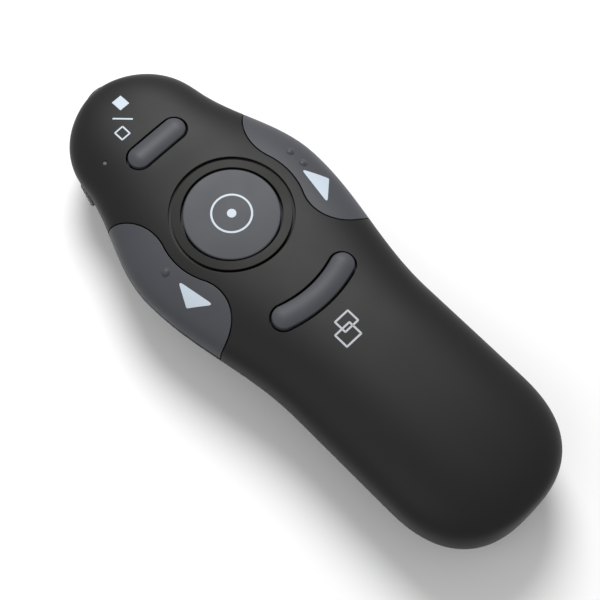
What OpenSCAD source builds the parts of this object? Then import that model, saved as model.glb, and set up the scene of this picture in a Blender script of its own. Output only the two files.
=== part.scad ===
// Wireless presentation clicker, in millimetres.
// A two-part shell holds five keys, a power slider, a laser pointer in the nose,
// two small cells under a swinging door, and a plug-in receiver docked in the tail.
// +Y points to the nose and +Z out of the keys. The origin lies under the middle of the body.

/* [Body] */
// Overall length from nose to tail
body_len = 125; // [123:0.5:128]
// Half width of the head, where the wing keys sit
head_half = 23.6; // [23:0.1:25]
// Half width of the neck behind the nose
neck_half = 15.9; // [15.6:0.1:17]
// Half width of the handle
handle_half = 18.7; // [18:0.1:20]
// Distance from the nose to the narrowest part of the neck
neck_from_nose = 11.5; // [10:0.5:13]
// Distance from the nose to where the handle becomes even
waist_from_nose = 80; // [77:0.5:84]
// Length over which the nose rounds off
nose_round = 15; // [14:0.5:16]
// Length over which the tail rounds off
tail_round = 20; // [17:0.5:22]
// Height of the parting line above the table
split_z = 14; // [13.8:0.1:15]
// Height of the crown above the parting line at the round key
crown = 8.3; // [8:0.1:9.5]
// Rise of the crown for each millimetre towards the tail
crown_slope = 0.03; // [0.02:0.005:0.04]
// Depth of the belly that the flat foot is cut from, beyond the parting line
belly_extra = 0.4; // [0.3:0.1:0.8]
// Squareness of the cross-section, where 2 is an ellipse
section_power = 2.68; // [2.5:0.02:2.9]
// Share by which the belly is narrower than the parting line
belly_taper = 0.1; // [0.05:0.01:0.12]
// Wall of both shells
wall = 2; // [1.9:0.1:2.2]
// Height of the tongue that locates the two shells
tongue_h = 1; // [0.8:0.1:1.2]
// Slack between parts that are fitted together
fit_gap = 0.1; // [0.08:0.01:0.12]

/* [Keys] */
// Distance from the nose to the middle of the round key
round_from_nose = 42.5; // [42:0.1:43]
// Diameter of the round key
round_d = 19.8; // [19:0.1:20.4]
// Gap around the round, bar and arc keys
key_gap = 0.45; // [0.35:0.05:0.5]
// Width of the trim ring around the round key
ring_w = 1.85; // [1.6:0.05:2]
// Groove between the trim ring and the shell
ring_groove = 0.6; // [0.4:0.05:0.7]
// Distance from the round key to the bar key
bar_offset = 22.4; // [22:0.1:23]
// Length of the bar key
bar_len = 14.3; // [13:0.1:15]
// Width of the bar key and of the arc key
bar_w = 5; // [4.6:0.1:5.2]
// Radius of the arc key's centre line about the round key
arc_r = 24.7; // [24.5:0.1:25.2]
// Half of the angle that the arc key spans between its end centres
arc_angle = 18.8; // [17:0.1:20]
// Height of the bar and arc keys above the skin
key_rise = 0.75; // [0.6:0.05:0.9]
// Radius of the crowned tops of the bar and arc keys
key_crown_r = 5; // [4.5:0.1:6]
// Gap around the wing keys
wing_gap = 0.3; // [0.25:0.05:0.35]
// Radius of the wing keys' inner edge about the round key
wing_in_r = 15.3; // [15.1:0.1:15.7]
// Radius of the wing keys' front corner
wing_front_r = 10.3; // [10:0.1:10.6]
// Direction of the front corner's centre from the round key
wing_front_angle = 17.5; // [16:0.5:19]
// Radius of the wing keys' rear corner
wing_rear_r = 8.4; // [8:0.1:8.8]
// Direction of the rear corner's centre from the round key
wing_rear_angle = -25.5; // [-27:0.5:-24]
// Thickness of the wing keys
wing_t = 1.6; // [1.4:0.1:1.8]
// Radius of the feel bumps on the wing keys
bump_r = 1.15; // [1:0.05:1.3]
// Travel of every key
key_travel = 0.4; // [0.3:0.05:0.45]
// Thickness of the lips that hold the keys in the shell
lip_t = 0.8; // [0.6:0.1:0.9]
// Reach of those lips past the edge of their key
lip_reach = 1.2; // [1:0.1:1.4]

/* [Board and switches] */
// Thickness of the circuit board
board_t = 1; // [0.8:0.1:1.2]
// Side of a push switch
switch_w = 6; // [5:0.5:6]
// Height of a push switch's case
switch_h = 2.7; // [2.5:0.1:2.8]
// Height of a push switch's stem above its case
stem_up = 0.9; // [0.8:0.1:1]
// Diameter of a push switch's stem
stem_d = 3.2; // [2.8:0.1:3.4]
// Distance of the wing keys' switches from the middle
wing_switch_x = 16.4; // [16:0.1:16.6]
// Distance from the round key back to the wing keys' switches
wing_switch_back = 4; // [3:0.5:5]
// Distance from the nose to the middle of the power slider
slider_from_nose = 15; // [14.7:0.1:15.3]
// Travel of the power slider
slider_travel = 2; // [1.5:0.1:2.2]

/* [Laser] */
// Diameter of the laser module
laser_d = 6; // [5.6:0.1:6.2]
// Length of the laser module
laser_len = 11.8; // [11:0.1:12]
// Diameter of the hole that the beam leaves by
beam_d = 3.4; // [3:0.1:3.8]

/* [Cells] */
// Diameter of a cell
cell_d = 10.5; // [10.4:0.05:10.6]
// Length of a cell with its nub
cell_len = 44.5; // [44:0.1:44.7]
// Space between the two cells
cell_gap = 0.6; // [0.4:0.1:0.8]
// Room for a pressed contact spring
spring_room = 3; // [2.8:0.1:3.2]
// Wire of the contact springs
spring_wire = 0.5; // [0.4:0.05:0.5]
// Walls of the cell bay
bay_wall = 1.2; // [1:0.1:1.3]
// Thickness of the battery door
door_t = 1.5; // [1.4:0.1:1.6]
// Gap around the battery door
door_gap = 0.25; // [0.2:0.05:0.3]

/* [Receiver] */
// Width of the receiver's case
case_w = 14.9; // [14:0.1:15.5]
// Height of the receiver's case
case_h = 6.6; // [6.2:0.1:6.8]
// Length of the receiver's case
case_len = 7.2; // [6.8:0.1:7.5]
// Length of the receiver's plug
plug_len = 11.8; // [11.5:0.1:12]
// Gap around the docked receiver
dock_gap = 0.2; // [0.15:0.05:0.3]

/* [Screws] */
// Diameter of the screws
screw_d = 2; // [1.8:0.1:2.2]
// Length of the screws under the head
screw_len = 10; // [9:0.5:10.5]
// Diameter of the screw heads
screw_head_d = 3.8; // [3.4:0.1:4]
// Diameter of the posts that the screws pull together
post_d = 5.4; // [5.2:0.1:5.6]

/* [Hidden] */
$fn = 48;

// Places along the body
wide = 30;
nose_y = body_len / 2;
tail_y = -nose_y;
round_y = nose_y - round_from_nose;
bar_y = round_y + bar_offset;
neck_y = nose_y - neck_from_nose;
waist_y = nose_y - waist_from_nose;
slider_y = nose_y - slider_from_nose;
end_flat = 0.004;
end_power = 5;
nose_power = 2;
tail_power = 2.5;

// Screws
head_post = [neck_half - 6.9, nose_y - 10];
tail_post = [handle_half - 6.7, tail_y + 12.5];
seat_z = 6.5;
screw_head_h = 1.4;

// Cell bay, board and switches, from the door up
bay_gap = 0.25;
cell_z = door_t + bay_gap + cell_d / 2;
cell_x = (cell_d + cell_gap) / 2;
sheet = 0.4;
nub = 0.8;
dimple = 0.4;
bay_half = cell_x + cell_d / 2 + bay_gap;
bay_rear = tail_y + case_len + plug_len + dock_gap + bay_wall;
bay_front = bay_rear + 2 * sheet + spring_room + cell_len + dimple + bay_gap;
deck_z = cell_z + cell_d / 2 + bay_gap;
deck_t = 0.9;
board_z = deck_z + deck_t + fit_gap;
board_top = board_z + board_t;
switch_top = board_top + switch_h;
stem_top = switch_top + stem_up;
stem_sink = key_travel + 0.9;
board_inset = wall + 1.6;
board_front = head_post[1] - post_d / 2 - 0.3;
board_rear = round_y - arc_r - switch_w / 2 - 3;
wing_switch_y = round_y - wing_switch_back;
wing_lift = key_travel + 0.2;
led_x = -10.4;
led_y = slider_y - 0.6;
pipe_d = 0.8;
flange_d = 2.6;

// Laser, on the parting line
ring_len = 1.9;
collar_len = 0.8;
ring_neck_r = 3.2;
collar_r = 3.9;
laser_front = nose_y - ring_len - fit_gap;
laser_rear = laser_front - laser_len;
lens_t = 1.2;
lens_d = laser_d - 1.5;

// Battery door
door_half = bay_half + bay_wall + 1;
door_front = bay_front + bay_wall + 0.4;
door_rear = bay_rear - 0.6;
door_set = 0.15;
hook_x = cell_x + 4.7;
hook_w = 2;
hook_z = wall + 0.6;
hook_reach = 1.4;
tab_half = 4.5;
tab_len = 2;

// Receiver
plug_w = 12;
plug_h = 4.5;
dock_z = 8.2;
dock_wall = 1;
plug_y = tail_y + case_len;

// Power slider, in the lower shell under the parting line
pad_x = half_w(slider_y);
pad_half = 2.5;
pad_proud = 1.05;
pad_flush = -0.3;
pad_sink = 0.8;
pad_z = [split_z - 2.4, split_z - 0.5];
rib_pitch = 1;
neck_half_y = 1.4;
neck_z = [split_z - 2.2, split_z - 0.5];
lever_half = 0.75;
lever_z = [board_z - 1.2, board_z - 0.5];
lever_len = 1.7;
slide_case = [2.7, 6.6, 1.6];
slide_x = pad_x - wall - 1.4;

// Body form ------------------------------------------------------------------

function limit(u) = max(0, min(1, u));
function ease(a, b, u) = a + (b - a) * (1 - cos(180 * limit(u))) / 2;

// Half width of the plain body, before its ends are rounded
function body_half(y) = y > round_y
    ? ease(head_half, neck_half, (y - round_y) / (neck_y - round_y))
    : ease(head_half, handle_half, (round_y - y) / (round_y - waist_y));

// Rounding of an end, from 0 at its tip to 1 at a distance of len
function end_cap(d, len, power) = d >= len ? 1
    : pow(max(0, 1 - pow((len - d) / len, power)), 1 / power);

function half_w(y) = body_half(y) * end_cap(nose_y - y, nose_round, nose_power)
    * end_cap(y - tail_y, tail_round, tail_power);

function end_fade(y) = pow(max(0, 1 - pow(abs(y) / nose_y, end_power)), 1 / end_power);
function crown_at(y) = crown - crown_slope * (y - round_y);
function power(v) = sign(v) * pow(abs(v), 2 / section_power);

// Height of the outer skin above the table
function skin_z(x, y) = split_z + crown_at(y) * end_fade(y)
    * pow(max(0, 1 - pow(abs(x) / half_w(y), section_power)), 1 / section_power);

// One cross-section of half of the body, t inside the skin, up = 1 above the parting line.
// It starts and ends a distance skirt past the parting line.
function section(y, t, up, skirt, m) =
    let (ye = y * (1 - end_flat),
         w = half_w(ye) * (1 - t / body_half(ye)),
         full = up > 0 ? crown_at(ye) : split_z + belly_extra,
         h = (full - t) * end_fade(ye),
         yt = y * (1 - t / nose_y))
    [[w, yt, split_z - up * skirt],
     for (j = [0:m]) let (a = 180 * j / m, high = power(sin(a)))
         [w * power(cos(a)) * (up > 0 ? 1 : 1 - belly_taper * high), yt, split_z + up * h * high],
     [-w, yt, split_z - up * skirt]];

function station(i, n) = -nose_y * cos(180 * max(0, min(n, i)) / n);

// Half of the body as one closed solid, t inside the skin, with sections of m facets.
// It has n steps over the whole length, of which those that cover span are made.
module half_body(t = 0, up = 1, skirt = 0.4, n = 36, m = 16, span = [tail_y, nose_y]) {
    count = m + 3;
    stations = [for (i = [0:n])
        if (station(i + 1, n) >= span[0] && station(i - 1, n) <= span[1]) station(i, n)];
    steps = len(stations) - 1;
    points = [for (y = stations) each section(y, t, up, skirt, m)];
    side = [for (i = [0:steps - 1], j = [0:count - 1])
        let (a = i * count + j, b = i * count + (j + 1) % count)
        each [[a, b, b + count], [a, b + count, a + count]]];
    rear = [for (j = [1:count - 2]) [0, j + 1, j]];
    last = steps * count;
    front = [for (j = [1:count - 2]) [last, last + j, last + j + 1]];
    faces = concat(side, rear, front);
    polyhedron(points, up > 0 ? faces : [for (f = faces) [f[0], f[2], f[1]]]);
}

// The body's plan at the parting line, moved in by inset
function plan_side(inset, n) = [for (i = [0:n])
    let (y = -nose_y * cos(180 * i / n), ye = y * (1 - end_flat))
    [half_w(ye) * (1 - inset / body_half(ye)), y * (1 - inset / nose_y)]];
function plan(inset, n = 36) = let (side = plan_side(inset, n))
    concat(side, [for (i = [n:-1:0]) [-side[i][0], side[i][1]]]);

module box(x, y, z) {
    translate([x[0], y[0], z[0]]) cube([x[1] - x[0], y[1] - y[0], z[1] - z[0]]);
}

module bothsides() {
    children();
    mirror([1, 0, 0]) children();
}

// Key outlines ---------------------------------------------------------------

function arc(c, r, from, to, n = 16) = [for (i = [0:n])
    let (a = from + (to - from) * i / n) [c[0] + r * cos(a), c[1] + r * sin(a)]];

// Outline of the right wing key, larger all round by grow
function wing_outline(grow) =
    let (out = head_half + 6,
         front_c = (wing_in_r + wing_front_r) * [cos(wing_front_angle), sin(wing_front_angle)],
         rear_c = (wing_in_r + wing_rear_r) * [cos(wing_rear_angle), sin(wing_rear_angle)],
         front = arc(front_c, wing_front_r + grow, 90, 180 + wing_front_angle, 14),
         inner = arc([0, 0], wing_in_r - grow, wing_front_angle, wing_rear_angle, 10),
         rear = arc(rear_c, wing_rear_r + grow, 180 + wing_rear_angle, 270, 14),
         edge = concat([[out, front_c[1] + wing_front_r + grow]], front,
             [for (i = [1:len(inner) - 2]) inner[i]], rear,
             [[out, rear_c[1] - wing_rear_r - grow]]))
    [for (p = edge) p + [0, round_y]];

module wing_prism(grow, z0 = split_z - 3, z1 = split_z + 12) {
    translate([0, 0, z0]) linear_extrude(z1 - z0) polygon(wing_outline(grow));
}

module bar_shape(grow) {
    r = bar_w / 2 + grow;
    x = (bar_len - bar_w) / 2;
    translate([-x, -r]) square([2 * x, 2 * r]);
    for (s = [-1, 1]) translate([s * x, 0]) circle(r);
}

module bar_prism(grow, z0, z1) {
    translate([0, bar_y, z0]) linear_extrude(z1 - z0) bar_shape(grow);
}

// Closed outline of the arc key, from its left tip, by arcs about the round key and its end
// centres. Point i lies across the key from point arc_points - i.
arc_steps = 16;
cap_steps = 10;
arc_points = 2 * (arc_steps + cap_steps);
function arc_outline(grow) =
    let (r = bar_w / 2 + grow, a0 = 270 - arc_angle, a1 = 270 + arc_angle,
         c0 = arc_r * [cos(a0), sin(a0)], c1 = arc_r * [cos(a1), sin(a1)],
         right = arc(c1, r, a1, a1 + 180, cap_steps),
         outer = arc([0, 0], arc_r + r, a0, a1, arc_steps),
         inner = arc([0, 0], arc_r - r, a1, a0, arc_steps))
    [for (p = concat([for (i = [0:cap_steps / 2 - 1]) left_cap(c0, r, a0, i)], outer,
        [for (i = [1:cap_steps - 1]) right[i]], inner,
        [for (i = [cap_steps / 2 + 1:cap_steps - 1]) left_cap(c0, r, a0, i - cap_steps)]))
        p + [0, round_y]];
function left_cap(c, r, a0, i) = let (a = a0 - 90 + 180 * i / cap_steps)
    c + r * [cos(a), sin(a)];

module arc_prism(grow, z0, z1) {
    translate([0, 0, z0]) linear_extrude(z1 - z0) polygon(arc_outline(grow));
}

// Arc key with its crowned top, as rings of the outline that close in towards the crest
module crowned_arc(low, top) {
    half = bar_w / 2;
    reach = [half, for (a = [75:-15:15]) half * sin(a), half * 0.04];
    rings = concat([[0, low]], [for (b = reach)
        [b - half, top - key_crown_r + sqrt(pow(key_crown_r, 2) - pow(b, 2))]]);
    n = arc_points;
    points = [for (ring = rings) for (p = arc_outline(ring[0])) [p[0], p[1], ring[1]]];
    side = [for (k = [0:len(rings) - 2], j = [0:n - 1])
        let (a = k * n + j, b = k * n + (j + 1) % n) each [[a, b + n, b], [a, a + n, b + n]]];
    strip = concat([[0, 1, n - 1]],
        [for (i = [1:n / 2 - 2]) each [[i, i + 1, n - 1 - i], [i, n - 1 - i, n - i]]],
        [[n / 2 - 1, n / 2, n / 2 + 1]]);
    last = (len(rings) - 1) * n;
    polyhedron(points, concat(side, strip,
        [for (f = strip) [last + f[0], last + f[2], last + f[1]]]));
}

// Shells ---------------------------------------------------------------------

round_r = round_d / 2;
hole_r = round_r + key_gap;
ring_r = hole_r + ring_w;
well_r = ring_r + ring_groove;
well_z = split_z + crown - 1.3;
key_z = skin_z(0, round_y) - 0.1;

module tongue(inset_out, inset_in, z0, z1) {
    translate([0, 0, z0]) linear_extrude(z1 - z0) difference() {
        polygon(plan(inset_out));
        polygon(plan(inset_in));
    }
}

module posts_at() {
    bothsides() {
        translate(head_post) children();
        translate(tail_post) children();
    }
}

// Room for the aperture ring and the laser module
module nose_bore(gap) {
    step_y = nose_y - ring_len + collar_len;
    translate([0, nose_y + 1, split_z]) rotate([90, 0, 0])
        cylinder(r = ring_neck_r + gap, h = nose_y + 1 - step_y);
    translate([0, step_y, split_z]) rotate([90, 0, 0])
        cylinder(r = collar_r + gap, h = collar_len + gap);
    translate([0, laser_front + gap, split_z]) rotate([90, 0, 0])
        cylinder(d = laser_d + gap, h = laser_len + 1);
}

rib_y = [waist_y - 4, waist_y - 16, waist_y - 28];
rib_span = [rib_y[2], rib_y[0]];

module upper_shell() {
    color([0.16, 0.16, 0.165]) difference() {
        union() {
            difference() {
                half_body(0, 1, 0);
                half_body(wall, 1, 1, 28, 12);
            }
            intersection() {
                posts_at() translate([0, 0, split_z]) cylinder(d = post_d, h = 12);
                half_body(wall / 2, 1, 0, 28, 12);
            }
            intersection() {
                for (y = rib_y) box([-20, 20], [y, y + 0.9], [split_z + 4, split_z + 12]);
                difference() {
                    half_body(wall / 2, 1, 0, 28, 12, rib_span);
                    half_body(wall + 1.6, 1, 1, 28, 12, rib_span);
                }
            }
        }
        translate([0, round_y, well_z]) cylinder(r = well_r, h = 5, $fn = 72);
        translate([0, round_y, split_z]) cylinder(r = hole_r, h = 12, $fn = 72);
        bar_prism(key_gap, split_z + 2, split_z + 12);
        arc_prism(key_gap, split_z + 2, split_z + 12);
        wing_prism(wing_gap);
        mirror([1, 0, 0]) wing_prism(wing_gap);
        translate([led_x, led_y, split_z]) cylinder(d = pipe_d + 2 * fit_gap, h = 12);
        posts_at() translate([0, 0, split_z - 1]) cylinder(d = screw_d - 0.4, h = 6);
        tongue(wall / 2 - fit_gap, wall + 0.5, split_z - 1, split_z + tongue_h + fit_gap);
        nose_bore(fit_gap);
    }
}

// Battery door's plan, larger all round by grow
module door_prism(grow, z0 = -1, z1 = 6) {
    box([-door_half - grow, door_half + grow], [door_rear - grow, door_front + grow], [z0, z1]);
    box([-tab_half - grow, tab_half + grow], [door_rear - tab_len - grow, door_rear], [z0, z1]);
}

// Space of the docked receiver, larger all round by grow
module dock_space(grow) {
    box([-case_w / 2 - grow, case_w / 2 + grow], [tail_y - 2, plug_y + grow],
        [dock_z - case_h / 2 - grow, dock_z + case_h / 2 + grow]);
    box([-plug_w / 2 - grow, plug_w / 2 + grow], [tail_y - 2, plug_y + plug_len + grow],
        [dock_z - plug_h / 2 - grow, dock_z + plug_h / 2 + grow]);
}

board_posts = [[9.5, round_y + 13], [wing_switch_x, round_y - 11]];
board_post_d = 3.6;
pin_d = 1.4;

module at_points(points) {
    for (p = points) translate(p) children();
}

// What stands inside the lower shell: posts, cell bay, dock, door ledge and laser cradle
module lower_insides() {
    posts_at() cylinder(d = post_d, h = split_z);
    bothsides() at_points(board_posts) cylinder(d = board_post_d, h = board_z);
    box([-bay_half - bay_wall, bay_half + bay_wall],
        [bay_rear - bay_wall, bay_front + bay_wall], [deck_z, deck_z + deck_t]);
    bothsides() box([bay_half, bay_half + bay_wall],
        [bay_rear - bay_wall, bay_front + bay_wall], [0, deck_z + deck_t]);
    for (y = [bay_rear - bay_wall, (bay_rear + bay_front) / 2, bay_front])
        box([-wide, wide], [y, y + bay_wall], [0, deck_z + deck_t]);
    dock_half = case_w / 2 + dock_gap + dock_wall;
    box([-dock_half, dock_half], [tail_y - 1, bay_rear],
        [0, dock_z + case_h / 2 + dock_gap + dock_wall]);
    for (y = [laser_rear + 1.5, laser_front - 2.5]) box([-4.6, 4.6], [y, y + 1.2], [0, split_z]);
    difference() {
        door_prism(1.5);
        half_body(wall + 1, -1, 0, 24, 10, door_span);
    }
}

module lower_shell() {
    color([0.13, 0.13, 0.135]) {
        difference() {
            intersection() {
                half_body(0, -1, 0);
                box([-wide, wide], [tail_y - 1, nose_y + 1], [0, split_z]);
            }
            difference() {
                half_body(wall, -1, 1, 24, 10);
                lower_insides();
            }
            box([-bay_half, bay_half], [bay_rear, bay_front], [-1, deck_z]);
            difference() {
                door_prism(door_gap);
                half_body(door_t + bay_gap, -1, 0, 24, 10, door_span);
            }
            bothsides() {
                box([hook_x - hook_w / 2 - door_gap, hook_x + hook_w / 2 + door_gap],
                    [bay_front - 1, door_front + door_gap], [-1, hook_z + 1.8]);
                box([hook_x - hook_w / 2 - door_gap, hook_x + hook_w / 2 + door_gap],
                    [bay_front - 1, door_front + hook_reach + 0.5], [hook_z - 0.2, hook_z + 1.8]);
            }
            translate([0, door_rear - tab_len - 1.5, -7.1]) rotate([0, 90, 0])
                cylinder(r = 8, h = 2 * tab_half + 3, center = true);
            dock_space(dock_gap);
            posts_at() {
                translate([0, 0, -1]) cylinder(d = screw_d + 2 * fit_gap, h = split_z + 2);
                translate([0, 0, -1]) cylinder(d = screw_head_d + 2 * fit_gap, h = seat_z + 1);
            }
            box([-pad_x - 2, -pad_x + pad_sink],
                [slider_y - slider_travel - pad_half - dock_gap, slider_y + pad_half + dock_gap],
                [pad_z[0] - dock_gap, split_z + 1]);
            box([-pad_x - 2, -pad_x + wall + 1.4],
                [slider_y - slider_travel - neck_half_y - dock_gap,
                 slider_y + neck_half_y + dock_gap],
                [neck_z[0] - dock_gap, split_z + 1]);
            nose_bore(fit_gap);
        }
        difference() {
            tongue(wall / 2, wall - fit_gap, split_z - 0.4, split_z + tongue_h);
            wing_prism(wing_gap);
            mirror([1, 0, 0]) wing_prism(wing_gap);
            box([-4.4, 4.4], [nose_y - 4, nose_y + 1], [split_z - 1, split_z + 3]);
        }
        bothsides() at_points(board_posts) translate([0, 0, board_z - 1])
            cylinder(d = pin_d, h = board_t + 0.9);
    }
}

door_span = [door_rear - tab_len, door_front];

module battery_door() {
    color([0.12, 0.12, 0.125]) {
        difference() {
            intersection() {
                half_body(door_set, -1, 0, span = door_span);
                door_prism(0, door_set);
            }
            half_body(door_t, -1, 1, 24, 10, door_span);
            bothsides() translate([cell_x, bay_rear, cell_z]) rotate([-90, 0, 0])
                cylinder(d = cell_d + 2 * bay_gap, h = bay_front - bay_rear, $fn = 96);
        }
        bothsides() {
            box([hook_x - hook_w / 2, hook_x + hook_w / 2],
                [door_front - 1.3, door_front], [1.2, hook_z + 0.9]);
            box([hook_x - hook_w / 2, hook_x + hook_w / 2],
                [door_front - 1.3, door_front + hook_reach], [hook_z, hook_z + 0.9]);
        }
    }
}

module button_ring() {
    color([0.2, 0.2, 0.2]) intersection() {
        translate([0, round_y, well_z]) difference() {
            cylinder(r = ring_r, h = 4, $fn = 72);
            translate([0, 0, -1]) cylinder(r = hole_r, h = 6, $fn = 72);
        }
        half_body(0.1, 1, 0, span = [round_y - well_r, round_y + well_r]);
    }
}

// Keys -----------------------------------------------------------------------

// Inner skin of the upper shell
function inner_z(x, y) = split_z + (crown_at(y) - wall) * end_fade(y)
    * pow(max(0, 1 - pow(abs(x) / (half_w(y) * (1 - wall / body_half(y))), section_power)),
        1 / section_power);

lip_gap = 0.25;
lip_r = round_r + lip_reach;
round_lip = min(inner_z(lip_r, round_y), inner_z(0, round_y + lip_r)) - lip_gap;
bar_lip = inner_z(bar_len / 2 + lip_reach, bar_y + bar_w / 2 + lip_reach) - lip_gap;
arc_end = arc_r * sin(arc_angle) + bar_w / 2 + lip_reach;
arc_lip = inner_z(arc_end, round_y - arc_r) - lip_gap;
key_skin = 1.4;
key_post = 4;
key_foot_r = bar_w / 2 - 1.3;
bump_sink = bump_r - 0.4;
key_color = [0.36, 0.37, 0.39];

// Room for the stem of a push switch inside a key
module stem_room(x, y) {
    translate([x, y, split_z]) cylinder(d = stem_d + 2 * fit_gap, h = stem_top - split_z);
}

// Height of the round key's slightly domed top at a radius
dome_r = 160;
function dome_z(r) = key_z - pow(r, 2) / 2 / dome_r;

module laser_button() {
    low = round_lip - lip_t;
    in_r = round_r - key_skin;
    roof = key_z - key_skin - 0.3;
    color(key_color) translate([0, round_y, 0]) {
        rotate_extrude($fn = 72) polygon(concat([[in_r, low], [lip_r, low], [lip_r, round_lip],
            [round_r, round_lip], [round_r, dome_z(round_r) - 0.35]],
            [for (i = [6:-1:0]) let (r = (round_r - 0.35) * i / 6) [r, dome_z(r)]],
            [[0, roof], [in_r, roof]]));
        translate([0, 0, stem_top]) cylinder(d = key_post, h = roof + 0.1 - stem_top);
        for (a = [45, 135]) rotate(a)
            box([0.5 - in_r, in_r - 0.5], [-0.45, 0.45], [round_lip - 0.4, roof + 0.1]);
    }
}

module blank_button() {
    top = skin_z(0, bar_y) + key_rise;
    x = (bar_len - bar_w) / 2;
    low = bar_lip - lip_t;
    color(key_color) {
        difference() {
            union() {
                intersection() {
                    bar_prism(0, low, top + 1);
                    translate([0, bar_y, top - key_crown_r]) {
                        rotate([0, 90, 0]) cylinder(r = key_crown_r, h = 2 * x, center = true);
                        for (s = [-1, 1]) translate([s * x, 0, 0]) sphere(r = key_crown_r);
                    }
                }
                bar_prism(lip_reach, low, bar_lip);
            }
            bar_prism(-key_skin, low - 1, top - 2 * key_skin);
            stem_room(0, bar_y);
        }
        translate([0, bar_y, stem_top])
            cylinder(r = key_foot_r, h = top - 2 * key_skin - stem_top + 0.1);
    }
}

module window_button() {
    top = skin_z(0, round_y - arc_r) + key_rise;
    low = arc_lip - lip_t;
    color(key_color) {
        difference() {
            union() {
                crowned_arc(low, top);
                arc_prism(lip_reach, low, arc_lip);
            }
            arc_prism(-key_skin, low - 1, top - 2 * key_skin);
            stem_room(0, round_y - arc_r);
        }
        translate([0, round_y - arc_r, stem_top])
            cylinder(r = key_foot_r, h = top - 2 * key_skin - stem_top + 0.1);
    }
}

head_span = [round_y - wing_in_r - 7, round_y + wing_in_r + 5];

// Layer of the upper skin over the head, between the depths t0 and t1
module skin_layer(t0, t1, n = 36, m = 16) {
    difference() {
        half_body(t0, 1, 0, n, m, head_span);
        half_body(t1, 1, 1, 28, 12, head_span);
    }
}

module wing_key(bumps) {
    low = split_z + wing_lift;
    high = split_z + crown + 1;
    lip_in = wall + lip_gap;
    color(key_color) {
        intersection() {
            skin_layer(0, wing_t);
            wing_prism(0, low, high);
        }
        difference() {
            intersection() {
                skin_layer(wing_t - 0.2, lip_in + lip_t);
                difference() {
                    wing_prism(0, low, high);
                    wing_prism(-lip_reach, low - 1, high + 1);
                }
            }
            stem_room(wing_switch_x, wing_switch_y);
        }
        intersection() {
            skin_layer(lip_in, lip_in + lip_t, 28, 12);
            difference() {
                wing_prism(lip_reach, low, high);
                wing_prism(-0.3, low - 1, high + 1);
            }
        }
        intersection() {
            translate([wing_switch_x, wing_switch_y, stem_top]) cylinder(d = key_post, h = 6);
            half_body(wing_t / 2, 1, 0, 28, 12, head_span);
            wing_prism(0, low, high);
        }
        for (p = bumps) translate([p[0], p[1], skin_z(p[0], p[1]) - bump_sink]) sphere(r = bump_r);
    }
}

module next_button() {
    wing_key([[18.4, round_y + 2.4], [18.5, round_y - 1.3]]);
}

module prev_button() {
    mirror([1, 0, 0]) wing_key([[17.5, round_y + 0.4]]);
}

// Board and switches ---------------------------------------------------------

wing_switch = [wing_switch_x, wing_switch_y];
switch_points = [[0, round_y], [0, bar_y], [0, round_y - arc_r], wing_switch,
    [-wing_switch[0], wing_switch[1]]];

module stem(i) {
    low = switch_top - stem_sink + key_travel + 0.05;
    color([0.85, 0.83, 0.78]) translate([switch_points[i][0], switch_points[i][1], low])
        cylinder(d = stem_d, h = stem_top - low);
}

module switch_cases() {
    color([0.1, 0.1, 0.1]) at_points(switch_points) difference() {
        translate([-switch_w / 2, -switch_w / 2, board_top]) cube([switch_w, switch_w, switch_h]);
        translate([0, 0, switch_top - stem_sink])
            cylinder(d = stem_d + 2 * fit_gap, h = stem_sink + 1);
        for (a = [45:90:315]) rotate(a)
            translate([switch_w * 0.52, 0, switch_top - 0.5]) cylinder(d = 1, h = 1);
    }
}

module board() {
    color([0.1, 0.35, 0.2]) translate([0, 0, board_z]) linear_extrude(board_t) difference() {
        intersection() {
            polygon(plan(board_inset));
            translate([-wide, board_rear]) square([2 * wide, board_front - board_rear]);
        }
        translate([-4.4, laser_rear - 2]) square([8.8, 20]);
        for (s = [-1, 1], p = board_posts) translate([s * p[0], p[1]]) circle(d = pin_d + 2 * fit_gap);
    }
}

module radio_chip() {
    color([0.08, 0.08, 0.08]) translate([5.5, round_y + 8.5, board_top]) cube([5, 5, 0.9]);
}

module crystal() {
    color("silver") translate([-9.5, round_y + 10, board_top]) cube([3.2, 2.5, 0.8]);
}

module status_led() {
    color("white") translate([led_x - 1, led_y - 0.6, board_top]) cube([2, 1.2, 0.8]);
}

module light_pipe() {
    low = board_top + 0.9;
    color([0.9, 0.9, 0.85]) {
        translate([led_x, led_y, low]) cylinder(d = pipe_d, h = skin_z(led_x, led_y) - 0.1 - low);
        translate([led_x, led_y, low])
            cylinder(d = flange_d, h = inner_z(led_x - 1.3, led_y + 1.3) - 0.1 - low);
    }
}

module slide_switch() {
    color([0.75, 0.75, 0.76]) difference() {
        box([-slide_x, slide_case[0] - slide_x],
            [slider_y - slider_travel / 2 - slide_case[1] / 2,
             slider_y - slider_travel / 2 + slide_case[1] / 2],
            [board_z - slide_case[2], board_z]);
        box([-slide_x - 1, 0.8 - slide_x],
            [slider_y - slider_travel - lever_half - fit_gap, slider_y + lever_half + fit_gap],
            [lever_z[0] - fit_gap, lever_z[1] + fit_gap]);
    }
}

module slide_lever() {
    color([0.9, 0.9, 0.88]) box([-slide_x - lever_len, 0.7 - slide_x],
        [slider_y - lever_half, slider_y + lever_half], lever_z);
}

// Reach of the pad's sloping face, from u = -1 at its rear to 1 at its front
function pad_face(u) = pad_x - 0.25 + (pad_flush * (1 + u) + pad_proud * (1 - u)) / 2;

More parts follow.
